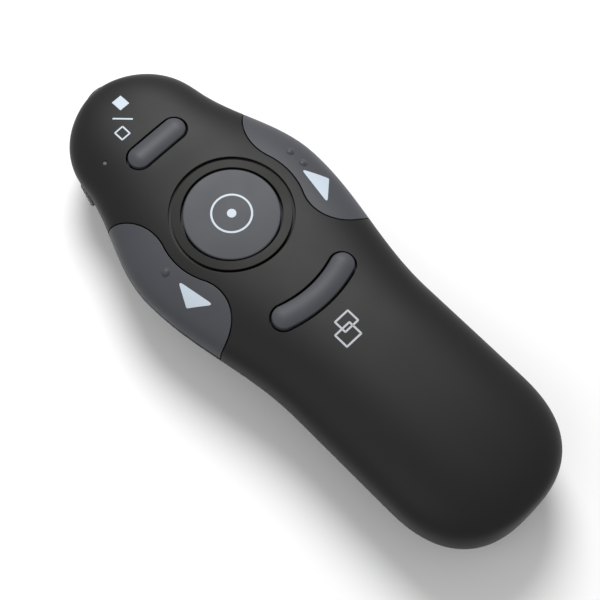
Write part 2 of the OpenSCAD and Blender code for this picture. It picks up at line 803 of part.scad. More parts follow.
module power_slider() {
    inside = -pad_x + pad_sink - 0.15;
    color([0.4, 0.41, 0.42]) {
        translate([0, 0, pad_z[0]]) linear_extrude(pad_z[1] - pad_z[0]) {
            polygon([[inside, slider_y - pad_half], [inside, slider_y + pad_half],
                [-pad_face(1), slider_y + pad_half], [-pad_face(-1), slider_y - pad_half]]);
            for (i = [-2:2]) let (y = i * rib_pitch)
                translate([-pad_face(y / pad_half), slider_y + y]) circle(r = 0.25, $fn = 24);
        }
        difference() {
            box([inside - 0.2, -slide_x - 0.35],
                [slider_y - neck_half_y, slider_y + neck_half_y], neck_z);
            box([-slide_x - lever_len - fit_gap, 0],
                [slider_y - lever_half - fit_gap, slider_y + lever_half + fit_gap],
                [lever_z[0] - fit_gap, lever_z[1] + fit_gap]);
        }
    }
}

// Laser ----------------------------------------------------------------------

module along_y(y) {
    translate([0, y, split_z]) rotate([-90, 0, 0]) children();
}

module aperture_ring() {
    color([0.08, 0.08, 0.08]) along_y(nose_y - ring_len) rotate_extrude()
        polygon([[beam_d / 2, 0], [collar_r, 0], [collar_r, collar_len], [ring_neck_r, collar_len],
            [ring_neck_r, ring_len], [beam_d / 2 + 0.6, ring_len], [beam_d / 2, ring_len - 0.7]]);
}

module laser_barrel() {
    color([0.78, 0.62, 0.3]) along_y(laser_rear) difference() {
        cylinder(d = laser_d, h = laser_len);
        translate([0, 0, -1]) cylinder(d = lens_d - 1, h = laser_len + 2);
        translate([0, 0, laser_len - lens_t - 0.4]) cylinder(d = lens_d, h = lens_t + 1);
        translate([0, 0, -1]) cylinder(d = lens_d, h = 4);
        for (z = [7.4, 8.2, 9]) translate([0, 0, z]) difference() {
            cylinder(d = laser_d + 1, h = 0.35);
            cylinder(d = laser_d - 0.4, h = 0.35);
        }
    }
}

module laser_lens() {
    color([0.8, 0.85, 0.9]) along_y(laser_front - lens_t - 0.4) intersection() {
        cylinder(d = lens_d, h = lens_t);
        translate([0, 0, lens_t - 6]) sphere(r = 6);
    }
}

module laser_diode() {
    color([0.8, 0.7, 0.4]) along_y(laser_rear + 0.2) {
        cylinder(d = lens_d, h = 1);
        cylinder(d = lens_d - 1.2, h = 3.2);
    }
}

module laser_board() {
    half = laser_d / 2 - 0.3;
    color([0.1, 0.35, 0.2])
        box([-half, half], [laser_rear - 0.8, laser_rear], [split_z - half, split_z + half]);
}

// Cells and contacts ---------------------------------------------------------

rear_sheet = bay_rear + sheet;
front_sheet = bay_front - sheet;
sheet_half = cell_d / 2 - 2.05;
spring_out = 3.5;
spring_in = 2.2;
spring_turns = 3;
ring_steps = 12;

// Revolved cell with its nub at the far end
module cell() {
    r = cell_d / 2;
    body = cell_len - nub;
    rotate([-90, 0, 0]) rotate_extrude() polygon([[0, 0], [r - 0.5, 0], [r, 0.5], [r, body - 0.5],
        [r - 0.5, body], [1.9, body], [1.9, cell_len], [0, cell_len]]);
}

module cell_left() {
    color([0.55, 0.2, 0.2]) translate([-cell_x, rear_sheet + spring_room, cell_z]) cell();
}

module cell_right() {
    color([0.55, 0.2, 0.2]) translate([cell_x, front_sheet - spring_room, cell_z]) rotate(180) cell();
}

// Points of the conical spring, from its wide end on the sheet to the cell
function spring_point(u) =
    let (r = spring_out + (spring_in - spring_out) * u, a = 360 * spring_turns * u)
    [r * cos(a), spring_wire * 0.3 + (spring_room - spring_wire * 0.9) * u, r * sin(a)];

module spring() {
    n = spring_turns * ring_steps;
    s = 6;
    points = [for (i = [0:n], j = [0:s - 1])
        let (p = spring_point(i / n), a = 360 * spring_turns * i / n, b = 360 * j / s)
        p + spring_wire / 2 * [cos(a) * cos(b), sin(b), sin(a) * cos(b)]];
    sides = [for (i = [0:n - 1], j = [0:s - 1])
        let (a = i * s + j, b = i * s + (j + 1) % s) each [[a, b + s, b], [a, a + s, b + s]]];
    ends = [for (j = [1:s - 2]) each [[0, j, j + 1], [n * s, n * s + j + 1, n * s + j]]];
    polyhedron(points, concat(sides, ends));
}
coils = [for (i = [0:spring_turns * ring_steps]) spring_point(i / (spring_turns * ring_steps))];
echo(least_gap_between_coils = min([for (i = [0:len(coils) - 1], j = [0:len(coils) - 1])
    if (j - i > ring_steps / 2) norm(coils[i] - coils[j])]) - spring_wire);

// Spring and dimple sides of a contact sheet, at the middle of a cell's end, facing +Y
module sheet_plate(half) {
    box([-half, half], [-sheet, 0], [-3.6, 4.2]);
}
module dimpled() {
    sheet_plate(sheet_half);
    rotate([-90, 0, 0]) cylinder(r1 = 2.2, r2 = 1.4, h = dimple);
}

module bridge_contact() {
    color("silver") translate([0, rear_sheet, cell_z]) {
        translate([-cell_x, 0, 0]) {
            sheet_plate(sheet_half);
            spring();
        }
        translate([cell_x, 0, 0]) dimpled();
        box([-cell_x, cell_x], [-sheet, 0], [1.5, 4.2]);
    }
}

module spring_contact() {
    color("silver") translate([cell_x, front_sheet, cell_z]) rotate(180) {
        sheet_plate(sheet_half);
        spring();
    }
}

module plus_contact() {
    color("silver") translate([-cell_x, front_sheet, cell_z]) rotate(180) dimpled();
}

// Receiver -------------------------------------------------------------------

module receiver_case() {
    r = 1;
    color([0.11, 0.11, 0.115]) difference() {
        intersection() {
            translate([0, plug_y, dock_z]) rotate([90, 0, 0]) linear_extrude(case_len + 1) {
                square([case_w - 2 * r, case_h], center = true);
                square([case_w, case_h - 2 * r], center = true);
                for (x = [-1, 1], y = [-1, 1])
                    translate([x * (case_w / 2 - r), y * (case_h / 2 - r)]) circle(r);
            }
            half_body(0.1, -1, 0, span = [tail_y, plug_y]);
        }
        for (s = [-1, 1], i = [0:2]) translate([s * (case_w / 2 + 0.2), plug_y - 1.6 - 1.3 * i, 0])
            cylinder(r = 0.45, h = split_z, $fn = 24);
    }
}

plug_t = 0.3;

module receiver_plug() {
    t = plug_t;
    color("silver") difference() {
        box([-plug_w / 2, plug_w / 2], [plug_y, plug_y + plug_len],
            [dock_z - plug_h / 2, dock_z + plug_h / 2]);
        box([t - plug_w / 2, plug_w / 2 - t], [plug_y - 1, plug_y + plug_len + 1],
            [dock_z - plug_h / 2 + t, dock_z + plug_h / 2 - t]);
        bothsides() box([1.2, 3.7], [plug_y + 5.2, plug_y + 7.2], [0, split_z]);
    }
}

module receiver_insert() {
    t = plug_t;
    color([0.1, 0.1, 0.1]) {
        box([t - plug_w / 2, plug_w / 2 - t], [plug_y, plug_y + 2.5],
            [dock_z - plug_h / 2 + t, dock_z + plug_h / 2 - t]);
        box([0.4 - plug_w / 2, plug_w / 2 - 0.4], [plug_y, plug_y + plug_len - 0.5],
            [dock_z - plug_h / 2 + t, dock_z - plug_h / 2 + t + 1.8]);
    }
}

// Screws ---------------------------------------------------------------------

module screws() {
    color([0.3, 0.3, 0.32]) posts_at() {
        translate([0, 0, seat_z - screw_head_h]) cylinder(d = screw_head_d, h = screw_head_h);
        translate([0, 0, seat_z - 0.1]) cylinder(d = screw_d - 0.4, h = screw_len - 0.9);
        translate([0, 0, seat_z + screw_len - 1]) cylinder(d1 = screw_d - 0.4, d2 = 0.6, h = 1);
    }
}

upper_shell();
lower_shell();
battery_door();
button_ring();
laser_button();
blank_button();
window_button();
prev_button();
next_button();
stem(0);  // laser_stem
stem(1);  // blank_stem
stem(2);  // window_stem
stem(4);  // prev_stem
stem(3);  // next_stem
power_slider();
slide_lever();
slide_switch();
switch_cases();
board();
radio_chip();
crystal();
status_led();
light_pipe();
aperture_ring();
laser_barrel();
laser_lens();
laser_diode();
laser_board();
cell_left();
cell_right();
bridge_contact();
spring_contact();
plus_contact();
receiver_case();
receiver_plug();
receiver_insert();
screws();
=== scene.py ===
import math

import bmesh
import bpy
from mathutils import Matrix, Vector


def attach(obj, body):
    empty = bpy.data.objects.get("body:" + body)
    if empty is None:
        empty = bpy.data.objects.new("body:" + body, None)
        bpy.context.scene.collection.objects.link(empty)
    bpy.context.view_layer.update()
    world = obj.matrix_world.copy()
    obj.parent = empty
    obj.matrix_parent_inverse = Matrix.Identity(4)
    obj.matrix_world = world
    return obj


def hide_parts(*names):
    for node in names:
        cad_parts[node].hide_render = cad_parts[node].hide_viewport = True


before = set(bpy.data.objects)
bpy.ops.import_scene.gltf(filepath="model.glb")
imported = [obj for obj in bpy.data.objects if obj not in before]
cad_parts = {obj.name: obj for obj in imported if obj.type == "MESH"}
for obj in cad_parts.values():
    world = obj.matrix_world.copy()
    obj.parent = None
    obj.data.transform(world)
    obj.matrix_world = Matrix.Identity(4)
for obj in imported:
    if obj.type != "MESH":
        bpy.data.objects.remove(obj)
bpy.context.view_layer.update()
mm = 0.001
mergeGap = 2e-7
print("frame loaded")

# The clicker's sizes in millimetres, as the solids have them
body = dict(
    length=125.0, head=23.6, neck=15.9, handle=18.7, neckFromNose=11.5, waistFromNose=80.0,
    keyFromNose=42.5, noseRound=15.0, tailRound=20.0, split=14.0, crown=8.3, slope=0.03,
    belly=0.4, taper=0.1, squareness=2.68, wall=2.0, barFromKey=22.4,
)
noseY = body["length"] / 2
tailY = -noseY
roundY = noseY - body["keyFromNose"]
barY = roundY + body["barFromKey"]
split = body["split"]


# Small tools for meshes

def link(name, mesh):
    piece = bpy.data.objects.new(name, mesh)
    bpy.context.scene.collection.objects.link(piece)
    return piece


def closeUp(piece):
    # merges doubles and turns every face outwards
    work = bmesh.new()
    work.from_mesh(piece.data)
    bmesh.ops.remove_doubles(work, verts=work.verts, dist=mergeGap)
    bmesh.ops.dissolve_degenerate(work, edges=work.edges, dist=1e-8)
    bmesh.ops.recalc_face_normals(work, faces=work.faces)
    work.to_mesh(piece.data)
    work.free()
    return piece


def solid(name, points, faces):
    mesh = bpy.data.meshes.new(name)
    mesh.from_pydata([Vector(p) * mm for p in points], [], faces)
    return closeUp(link(name, mesh))


def loft(name, rings, capStart=True, capEnd=True):
    # closed rings of equal count, joined in turn
    count = len(rings[0])
    points = [p for ring in rings for p in ring]
    faces = []
    for k in range(len(rings) - 1):
        for j in range(count):
            a, b = k * count + j, k * count + (j + 1) % count
            faces.append((a, b, b + count, a + count))
    if capStart:
        faces.append(tuple(range(count - 1, -1, -1)))
    if capEnd:
        faces.append(tuple(range(len(points) - count, len(points))))
    return solid(name, points, faces)


def block(x, y, z):
    corners = [(x[0], y[0]), (x[1], y[0]), (x[1], y[1]), (x[0], y[1])]
    return loft("block", [[(a, b, c) for a, b in corners] for c in z])


def prism(outline, z0, z1):
    return loft("prism", [[(x, y, z) for x, y in outline] for z in (z0, z1)])


def lathe(name, profile, centre=(0, 0, 0), steps=96, axis="Z"):
    # profile of (radius, height) pairs from one end of the axis to the other
    rings = []
    for r, h in profile:
        ring = []
        for j in range(steps):
            a = 2 * math.pi * j / steps
            p = (r * math.cos(a), r * math.sin(a), h)
            if axis == "Y":
                p = (p[0], h, -p[1])
            ring.append(tuple(p[i] + centre[i] for i in range(3)))
        rings.append(ring)
    return loft(name, rings)


def rod(centre, radius, low, high, steps=48, axis="Z"):
    return lathe("rod", [(radius, low), (radius, high)], centre, steps, axis)


def delete(*objects):
    for o in objects:
        bpy.data.objects.remove(o, do_unlink=True)


def settle(piece):
    # applies whatever modifiers the piece carries
    view = bpy.context.view_layer
    view.update()
    shape = piece.evaluated_get(bpy.context.evaluated_depsgraph_get())
    mesh = bpy.data.meshes.new_from_object(shape)
    piece.modifiers.clear()
    piece.data = mesh
    return piece


def together(name, parts):
    # several pieces as one mesh, each keeping its own materials
    work = bmesh.new()
    slots = []
    for part in parts:
        start = len(work.faces)
        work.from_mesh(part.data)
        work.faces.ensure_lookup_table()
        places = []
        for m in part.data.materials:
            if m not in slots:
                slots.append(m)
            places.append(slots.index(m))
        for face in work.faces[start:]:
            if places:
                face.material_index = places[min(face.material_index, len(places) - 1)]
    mesh = bpy.data.meshes.new(name)
    work.to_mesh(mesh)
    work.free()
    for m in slots:
        mesh.materials.append(m)
    delete(*parts)
    return link(name, mesh)


def carve(piece, *others, operation="DIFFERENCE"):
    # tools that cross each other are joined into one solid first
    tool = others[0]
    for other in others[1:]:
        carve(tool, other, operation="UNION")
    step = piece.modifiers.new("carve", "BOOLEAN")
    step.operation, step.solver, step.object = operation, "MANIFOLD", tool
    settle(piece)
    delete(tool)
    return piece


def twin(piece):
    return link(piece.name, piece.data.copy())


def flip(piece):
    # the mirror image across the middle plane
    piece.data.transform(Matrix.Scale(-1, 4, Vector((1, 0, 0))))
    return closeUp(piece)


def smooth(piece, angle=32):
    # large faces keep their own direction where small ones meet them
    piece.data.shade_smooth()
    piece.data.set_sharp_from_angle(angle=math.radians(angle))
    step = piece.modifiers.new("shade", "WEIGHTED_NORMAL")
    step.keep_sharp = True
    return settle(piece)


def dress(piece, name, finish, carrier, slotName, *nodes):
    # gives a finished piece its name and finish, smooths it, hides the solids it replaces and sets
    # it on its body
    piece.name = piece.data.name = name
    if finish:
        piece.data.materials.clear()
        piece.data.materials.append(paint[finish])
    smooth(piece)
    if nodes:
        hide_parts(*nodes)
    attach(piece, carrier)
    return piece


# Node trees

class Flow:
    # one number in a node tree, so that a rule can be written as a sum

    def __init__(self, tree, socket):
        self.tree, self.socket = tree, socket

    def step(self, operation, *others, clamp=False):
        node = self.tree.nodes.new("ShaderNodeMath")
        node.operation, node.use_clamp = operation, clamp
        for place, value in enumerate((self,) + others):
            if isinstance(value, Flow):
                self.tree.links.new(value.socket, node.inputs[place])
            else:
                node.inputs[place].default_value = value
        return Flow(self.tree, node.outputs[0])

    def __add__(self, other):
        return self.step("ADD", other)

    def __sub__(self, other):
        return self.step("SUBTRACT", other)

    def __mul__(self, other):
        return self.step("MULTIPLY", other)

    def __truediv__(self, other):
        return self.step("DIVIDE", other)

    def power(self, other):
        return self.step("POWER", other)

    def within(self):
        return self.step("ADD", 0.0, clamp=True)

    def above(self, other):
        return self.step("GREATER_THAN", other)

    def less(self):
        # one minus the number
        return (self * -1.0) + 1.0

    def choose(self, yes, no):
        # yes where this mask is 1 and no where it is 0
        return self * yes + self.less() * no


def wire(tree, *pairs):
    # links outputs, or the numbers that stand for them, to inputs
    for source, target in pairs:
        tree.links.new(source.socket if isinstance(source, Flow) else source, target)


def nodeTree(name, inputs, kind="GeometryNodeTree"):
    tree = bpy.data.node_groups.new(name, kind)
    for label, socketType, value in inputs:
        socket = tree.interface.new_socket(name=label, in_out="INPUT", socket_type=socketType)
        if value is not None:
            socket.default_value = value
    source = tree.nodes.new("NodeGroupInput")
    return tree, {label: source.outputs[label] for label, _, _ in inputs}


def finishTree(tree, geometry, materialSocket):
    tree.interface.new_socket(name="Geometry", in_out="OUTPUT", socket_type="NodeSocketGeometry")
    real = tree.nodes.new("GeometryNodeRealizeInstances")
    coat = tree.nodes.new("GeometryNodeSetMaterial")
    end = tree.nodes.new("NodeGroupOutput")
    wire(tree, (geometry, real.inputs[0]), (real.outputs[0], coat.inputs["Geometry"]),
         (materialSocket, coat.inputs["Material"]), (coat.outputs[0], end.inputs["Geometry"]))
    return tree


def grow(name, tree, values, seed=None):
    # a new piece made by a tree, with its inputs set by their sockets' identifiers
    piece = seed or link(name, bpy.data.meshes.new(name))
    step = piece.modifiers.new(name, "NODES")
    step.node_group = tree
    for item in tree.interface.items_tree:
        if item.item_type == "SOCKET" and item.in_out == "INPUT" and item.name in values:
            step[item.identifier] = values[item.name]
    return settle(piece)


bodyInputs = {
    "Length": "length", "Head": "head", "Neck": "neck", "Handle": "handle",
    "Neck from nose": "neckFromNose", "Waist from nose": "waistFromNose",
    "Key from nose": "keyFromNose", "Nose round": "noseRound", "Tail round": "tailRound",
    "Parting height": "split", "Squareness": "squareness",
}


def makeBodyTree():
    number, whole = "NodeSocketFloat", "NodeSocketInt"
    tree, given = nodeTree("halfBody", [
        ("Stations", whole, 96), ("Facets", whole, 40), ("Depth", number, 0.0),
        ("Side", number, 1.0), ("Skirt", number, 0.0), ("Full height", number, body["crown"]),
        ("Slope", number, body["slope"]), ("Taper", number, 0.0),
        *((label, number, body[key]) for label, key in bodyInputs.items()),
        ("Finish", "NodeSocketMaterial", None)])
    g = {label: Flow(tree, socket) for label, socket in given.items()}
    grid = tree.nodes.new("GeometryNodeMeshGrid")
    grid.inputs["Size X"].default_value = grid.inputs["Size Y"].default_value = 1.0
    columns = g["Facets"] + 4.0
    rows = g["Stations"] + 1.0
    where = tree.nodes.new("GeometryNodeInputPosition")
    apart = tree.nodes.new("ShaderNodeSeparateXYZ")
    wire(tree, (rows, grid.inputs["Vertices X"]), (columns, grid.inputs["Vertices Y"]),
         (where.outputs[0], apart.inputs[0]))
    along = Flow(tree, apart.outputs[0]) + 0.5
    column = ((Flow(tree, apart.outputs[1]) + 0.5) * (columns - 1.0)).step("ROUND")
    nose = g["Length"] * 0.5
    y = nose * (along * math.pi).step("COSINE") * -1.0
    fromNose = nose - y
    # widths ease from the head to the neck and from the head to the handle
    key = g["Key from nose"]
    frontPart = ((key - fromNose) / (key - g["Neck from nose"])).within()
    rearPart = ((fromNose - key) / (g["Waist from nose"] - key)).within()

    def swing(u):
        return ((u * math.pi).step("COSINE") * -1.0 + 1.0) * 0.5

    plain = g["Head"] + (g["Neck"] - g["Head"]) * swing(frontPart) \
        + (g["Handle"] - g["Head"]) * swing(rearPart)

    def roundOff(distance, size, bend):
        u = ((size - distance) / size).step("MAXIMUM", 0.0)
        return (u.power(bend).less()).step("MAXIMUM", 0.0).power(1 / bend)

    width = plain * roundOff(fromNose, g["Nose round"], 2.0) \
        * roundOff(g["Length"] - fromNose, g["Tail round"], 2.5)
    width = width * (g["Depth"] / plain).less()
    fade = ((y.step("ABSOLUTE") / nose).power(5.0).less()).step("MAXIMUM", 0.0).power(0.2)
    height = (g["Full height"] - g["Slope"] * (y - (nose - key)) - g["Depth"]) * fade
    # the section is a squared ellipse, closed by a skirt and a floor
    angle = ((column - 1.0) / g["Facets"]).within() * math.pi
    bend = g["Squareness"].power(-1.0) * 2.0
    cosine, sine = angle.step("COSINE"), angle.step("SINE").step("MAXIMUM", 0.0)
    rise = sine.power(bend)
    x = width * cosine.step("SIGN") * cosine.step("ABSOLUTE").power(bend) \
        * (g["Taper"] * rise).less()
    skirtMask = (column - 0.5).step("MULTIPLY", -1.0).above(0.0) \
        + (column - (g["Facets"] + 1.5)).above(0.0)
    closing = (column - (g["Facets"] + 2.5)).above(0.0)
    x = closing.choose(width, x)
    arch = g["Parting height"] + g["Side"] * height * rise
    skirt = g["Parting height"] - g["Side"] * g["Skirt"]
    z = skirtMask.choose(skirt, arch)
    y = y * (g["Depth"] / nose).less()
    place = tree.nodes.new("ShaderNodeCombineXYZ")
    move = tree.nodes.new("GeometryNodeSetPosition")
    merge = tree.nodes.new("GeometryNodeMergeByDistance")
    merge.inputs["Distance"].default_value = mergeGap
    wire(tree, *zip((x * mm, y * mm, z * mm), place.inputs),
         (grid.outputs["Mesh"], move.inputs["Geometry"]),
         (place.outputs[0], move.inputs["Position"]),
         (move.outputs["Geometry"], merge.inputs["Geometry"]))
    return finishTree(tree, merge.outputs["Geometry"], given["Finish"])


bodyTree, halves = makeBodyTree(), {}


def halfBody(depth=0.0, side=1, skirt=0.0, fine=False):
    # the upper (1) or lower (-1) half, set in by a depth. Each is grown once and then copied
    known = (depth, side, skirt, fine)
    if known not in halves:
        upper = side > 0
        piece = closeUp(grow("halfBody", bodyTree, {
            "Stations": 200 if fine else 96, "Facets": 88 if fine else 40,
            "Depth": float(depth), "Side": float(side), "Skirt": float(skirt),
            "Full height": body["crown"] if upper else split + body["belly"],
            "Slope": body["slope"] if upper else 0.0, "Taper": 0.0 if upper else body["taper"],
            **{label: body[key] for label, key in bodyInputs.items()}}))
        halves[known] = piece.data
        delete(piece)
    return link("half", halves[known].copy())


def makeRowTree():
    # the seed shape repeated in a straight row
    tree, given = nodeTree("row", [
        ("Shape", "NodeSocketGeometry", None), ("Count", "NodeSocketInt", 3),
        ("Start", "NodeSocketVector", None), ("Step", "NodeSocketVector", None),
        ("Finish", "NodeSocketMaterial", None)])
    line = tree.nodes.new("GeometryNodeMeshLine")
    repeat = tree.nodes.new("GeometryNodeInstanceOnPoints")
    wire(tree, (given["Count"], line.inputs["Count"]),
         (given["Start"], line.inputs["Start Location"]), (given["Step"], line.inputs["Offset"]),
         (line.outputs["Mesh"], repeat.inputs["Points"]),
         (given["Shape"], repeat.inputs["Instance"]))
    return finishTree(tree, repeat.outputs["Instances"], given["Finish"])


def makePairsTree():
    # the seed shape at four points, a pair near each end
    tree, given = nodeTree("pairs", [
        ("Shape", "NodeSocketGeometry", None), ("Front X", "NodeSocketFloat", 0.01),
        ("Front Y", "NodeSocketFloat", 0.05), ("Rear X", "NodeSocketFloat", 0.01),
        ("Rear Y", "NodeSocketFloat", -0.05), ("Height", "NodeSocketFloat", 0.0),
        ("Turn", "NodeSocketFloat", 0.7), ("Finish", "NodeSocketMaterial", None)])
    g = {label: Flow(tree, socket) for label, socket in given.items()}
    index = Flow(tree, tree.nodes.new("GeometryNodeInputIndex").outputs[0])
    rear = index.above(1.5)
    right = index.step("MODULO", 2.0)
    x = rear.choose(g["Rear X"], g["Front X"]) * (right * 2.0 - 1.0)
    y = rear.choose(g["Rear Y"], g["Front Y"])
    place = tree.nodes.new("ShaderNodeCombineXYZ")
    spread = tree.nodes.new("GeometryNodePoints")
    spread.inputs["Count"].default_value = 4
    turn = tree.nodes.new("ShaderNodeCombineXYZ")
    repeat = tree.nodes.new("GeometryNodeInstanceOnPoints")
    wire(tree, *zip((x, y, g["Height"]), place.inputs),
         (g["Turn"] * (index + 1.0), turn.inputs["Z"]),
         (place.outputs[0], spread.inputs["Position"]),
         (spread.outputs[0], repeat.inputs["Points"]),
         (given["Shape"], repeat.inputs["Instance"]), (turn.outputs[0], repeat.inputs["Rotation"]))
    return finishTree(tree, repeat.outputs["Instances"], given["Finish"])


def makeCoilTree():
    tree, given = nodeTree("coil", [
        ("Turns", "NodeSocketFloat", 3.0), ("Wide radius", "NodeSocketFloat", 0.0035),
        ("Narrow radius", "NodeSocketFloat", 0.0022), ("Height", "NodeSocketFloat", 0.0026),
        ("Wire", "NodeSocketFloat", 0.00025), ("Finish", "NodeSocketMaterial", None)])
    spiral = tree.nodes.new("GeometryNodeCurveSpiral")
    spiral.inputs["Resolution"].default_value = 40
    circle = tree.nodes.new("GeometryNodeCurvePrimitiveCircle")
    circle.inputs["Resolution"].default_value = 12
    sweep = tree.nodes.new("GeometryNodeCurveToMesh")
    sweep.inputs["Fill Caps"].default_value = True
    wire(tree, (given["Turns"], spiral.inputs["Rotations"]),
         (given["Wide radius"], spiral.inputs["Start Radius"]),
         (given["Narrow radius"], spiral.inputs["End Radius"]),
         (given["Height"], spiral.inputs["Height"]), (given["Wire"], circle.inputs["Radius"]),
         (spiral.outputs["Curve"], sweep.inputs["Curve"]),
         (circle.outputs["Curve"], sweep.inputs["Profile Curve"]))
    return finishTree(tree, sweep.outputs["Mesh"], given["Finish"])


rowTree, pairsTree, coilTree = makeRowTree(), makePairsTree(), makeCoilTree()


def row(shape, count, start, step, finish=None):
    return grow("row", rowTree, {
        "Count": count, "Start": [v * mm for v in start], "Step": [v * mm for v in step],
        "Finish": finish}, seed=shape)


print("node trees ready")


# Materials

def makeGrainGroup():
    # fine grain of a moulded or sprayed surface, with broad mottling
    tree, given = nodeTree("mouldGrain", [
        ("Place", "NodeSocketVector", None), ("Grain size", "NodeSocketFloat", 4000.0),
        ("Mottle size", "NodeSocketFloat", 60.0)], "ShaderNodeTree")
    for label in ("Grain", "Mottle"):
        tree.interface.new_socket(name=label, in_out="OUTPUT", socket_type="NodeSocketFloat")
    fine = tree.nodes.new("ShaderNodeTexNoise")
    broad = tree.nodes.new("ShaderNodeTexNoise")
    fine.inputs["Detail"].default_value = 3.0
    broad.inputs["Detail"].default_value = 4.0
    end = tree.nodes.new("NodeGroupOutput")
    for label, noise in (("Grain", fine), ("Mottle", broad)):
        wire(tree, (given["Place"], noise.inputs["Vector"]),
             (given[label + " size"], noise.inputs["Scale"]),
             (noise.outputs["Fac"], end.inputs[label]))
    return tree


def makeEdgeGroup():
    # softened edges, and a mask of where they are worn lighter
    tree, given = nodeTree("softEdge", [("Radius", "NodeSocketFloat", 0.0002),
                                        ("Wear", "NodeSocketFloat", 1.0)], "ShaderNodeTree")
    tree.interface.new_socket(name="Normal", in_out="OUTPUT", socket_type="NodeSocketVector")
    tree.interface.new_socket(name="Worn", in_out="OUTPUT", socket_type="NodeSocketFloat")
    rounded = tree.nodes.new("ShaderNodeBevel")
    rounded.samples = 6
    shape = tree.nodes.new("ShaderNodeNewGeometry")
    same = tree.nodes.new("ShaderNodeVectorMath")
    same.operation = "DOT_PRODUCT"
    away = Flow(tree, same.outputs["Value"]).less() * Flow(tree, given["Wear"])
    end = tree.nodes.new("NodeGroupOutput")
    wire(tree, (given["Radius"], rounded.inputs["Radius"]), (rounded.outputs[0], same.inputs[0]),
         (shape.outputs["Normal"], same.inputs[1]), (rounded.outputs[0], end.inputs["Normal"]),
         (away.within(), end.inputs["Worn"]))
    return tree


grainGroup, edgeGroup = makeGrainGroup(), makeEdgeGroup()


def useGroup(tree, group, **values):
    node = tree.nodes.new("ShaderNodeGroup")
    node.node_tree = group
    for label, value in values.items():
        socket = node.inputs[label.replace("_", " ")]
        if isinstance(value, (int, float)):
            socket.default_value = value
        else:
            tree.links.new(value, socket)
    return node


def blendColours(tree, mask, low, high):
    node = tree.nodes.new("ShaderNodeMix")
    node.data_type = "RGBA"
    tree.links.new(mask, node.inputs["Factor"])
    for socket, colour in ((node.inputs[6], low), (node.inputs[7], high)):
        if isinstance(colour, (tuple, list)):
            socket.default_value = (*colour, 1.0)
        else:
            tree.links.new(colour, socket)
    return node.outputs[2]


def spanned(tree, value, low, high, to0, to1):
    node = tree.nodes.new("ShaderNodeMapRange")
    for label, number in (("From Min", low), ("From Max", high), ("To Min", to0), ("To Max", to1)):
        node.inputs[label].default_value = number
    tree.links.new(value, node.inputs["Value"])
    return node.outputs[0]


def finishOf(name, colour, worn, rough, bump=0.02, grain=4000.0, mottle=60.0, metal=0.0,
             shine=0.5, edge=0.0002, shift=0.12, roughShift=0.05):
    # a moulded, sprayed, stamped or turned surface, with grain, mottling and worn edges
    made = bpy.data.materials.new(name)
    made.use_nodes = True
    tree = made.node_tree
    shader = tree.nodes["Principled BSDF"]
    place = tree.nodes.new("ShaderNodeTexCoord").outputs["Object"]
    surface = useGroup(tree, grainGroup, Place=place, Grain_size=grain, Mottle_size=mottle)
    corner = useGroup(tree, edgeGroup, Radius=edge, Wear=3.0)
    darker = tuple(c * (1 - shift) for c in colour)
    lighter = tuple(c * (1 + shift) for c in colour)
    tone = blendColours(tree, surface.outputs["Mottle"], darker, lighter)
    tone = blendColours(tree, corner.outputs["Worn"], tone, worn)
    roughness = spanned(tree, surface.outputs["Mottle"], 0.3, 0.7, rough - roughShift,
                        rough + roughShift)
    dent = tree.nodes.new("ShaderNodeBump")
    dent.inputs["Strength"].default_value = bump
    dent.inputs["Distance"].default_value = 0.1 * mm
    wire(tree, (tone, shader.inputs["Base Color"]), (roughness, shader.inputs["Roughness"]),
         (surface.outputs["Grain"], dent.inputs["Height"]),
         (corner.outputs["Normal"], dent.inputs["Normal"]),
         (dent.outputs["Normal"], shader.inputs["Normal"]))
    shader.inputs["Metallic"].default_value = metal
    shader.inputs["Specular IOR Level"].default_value = shine
    return made


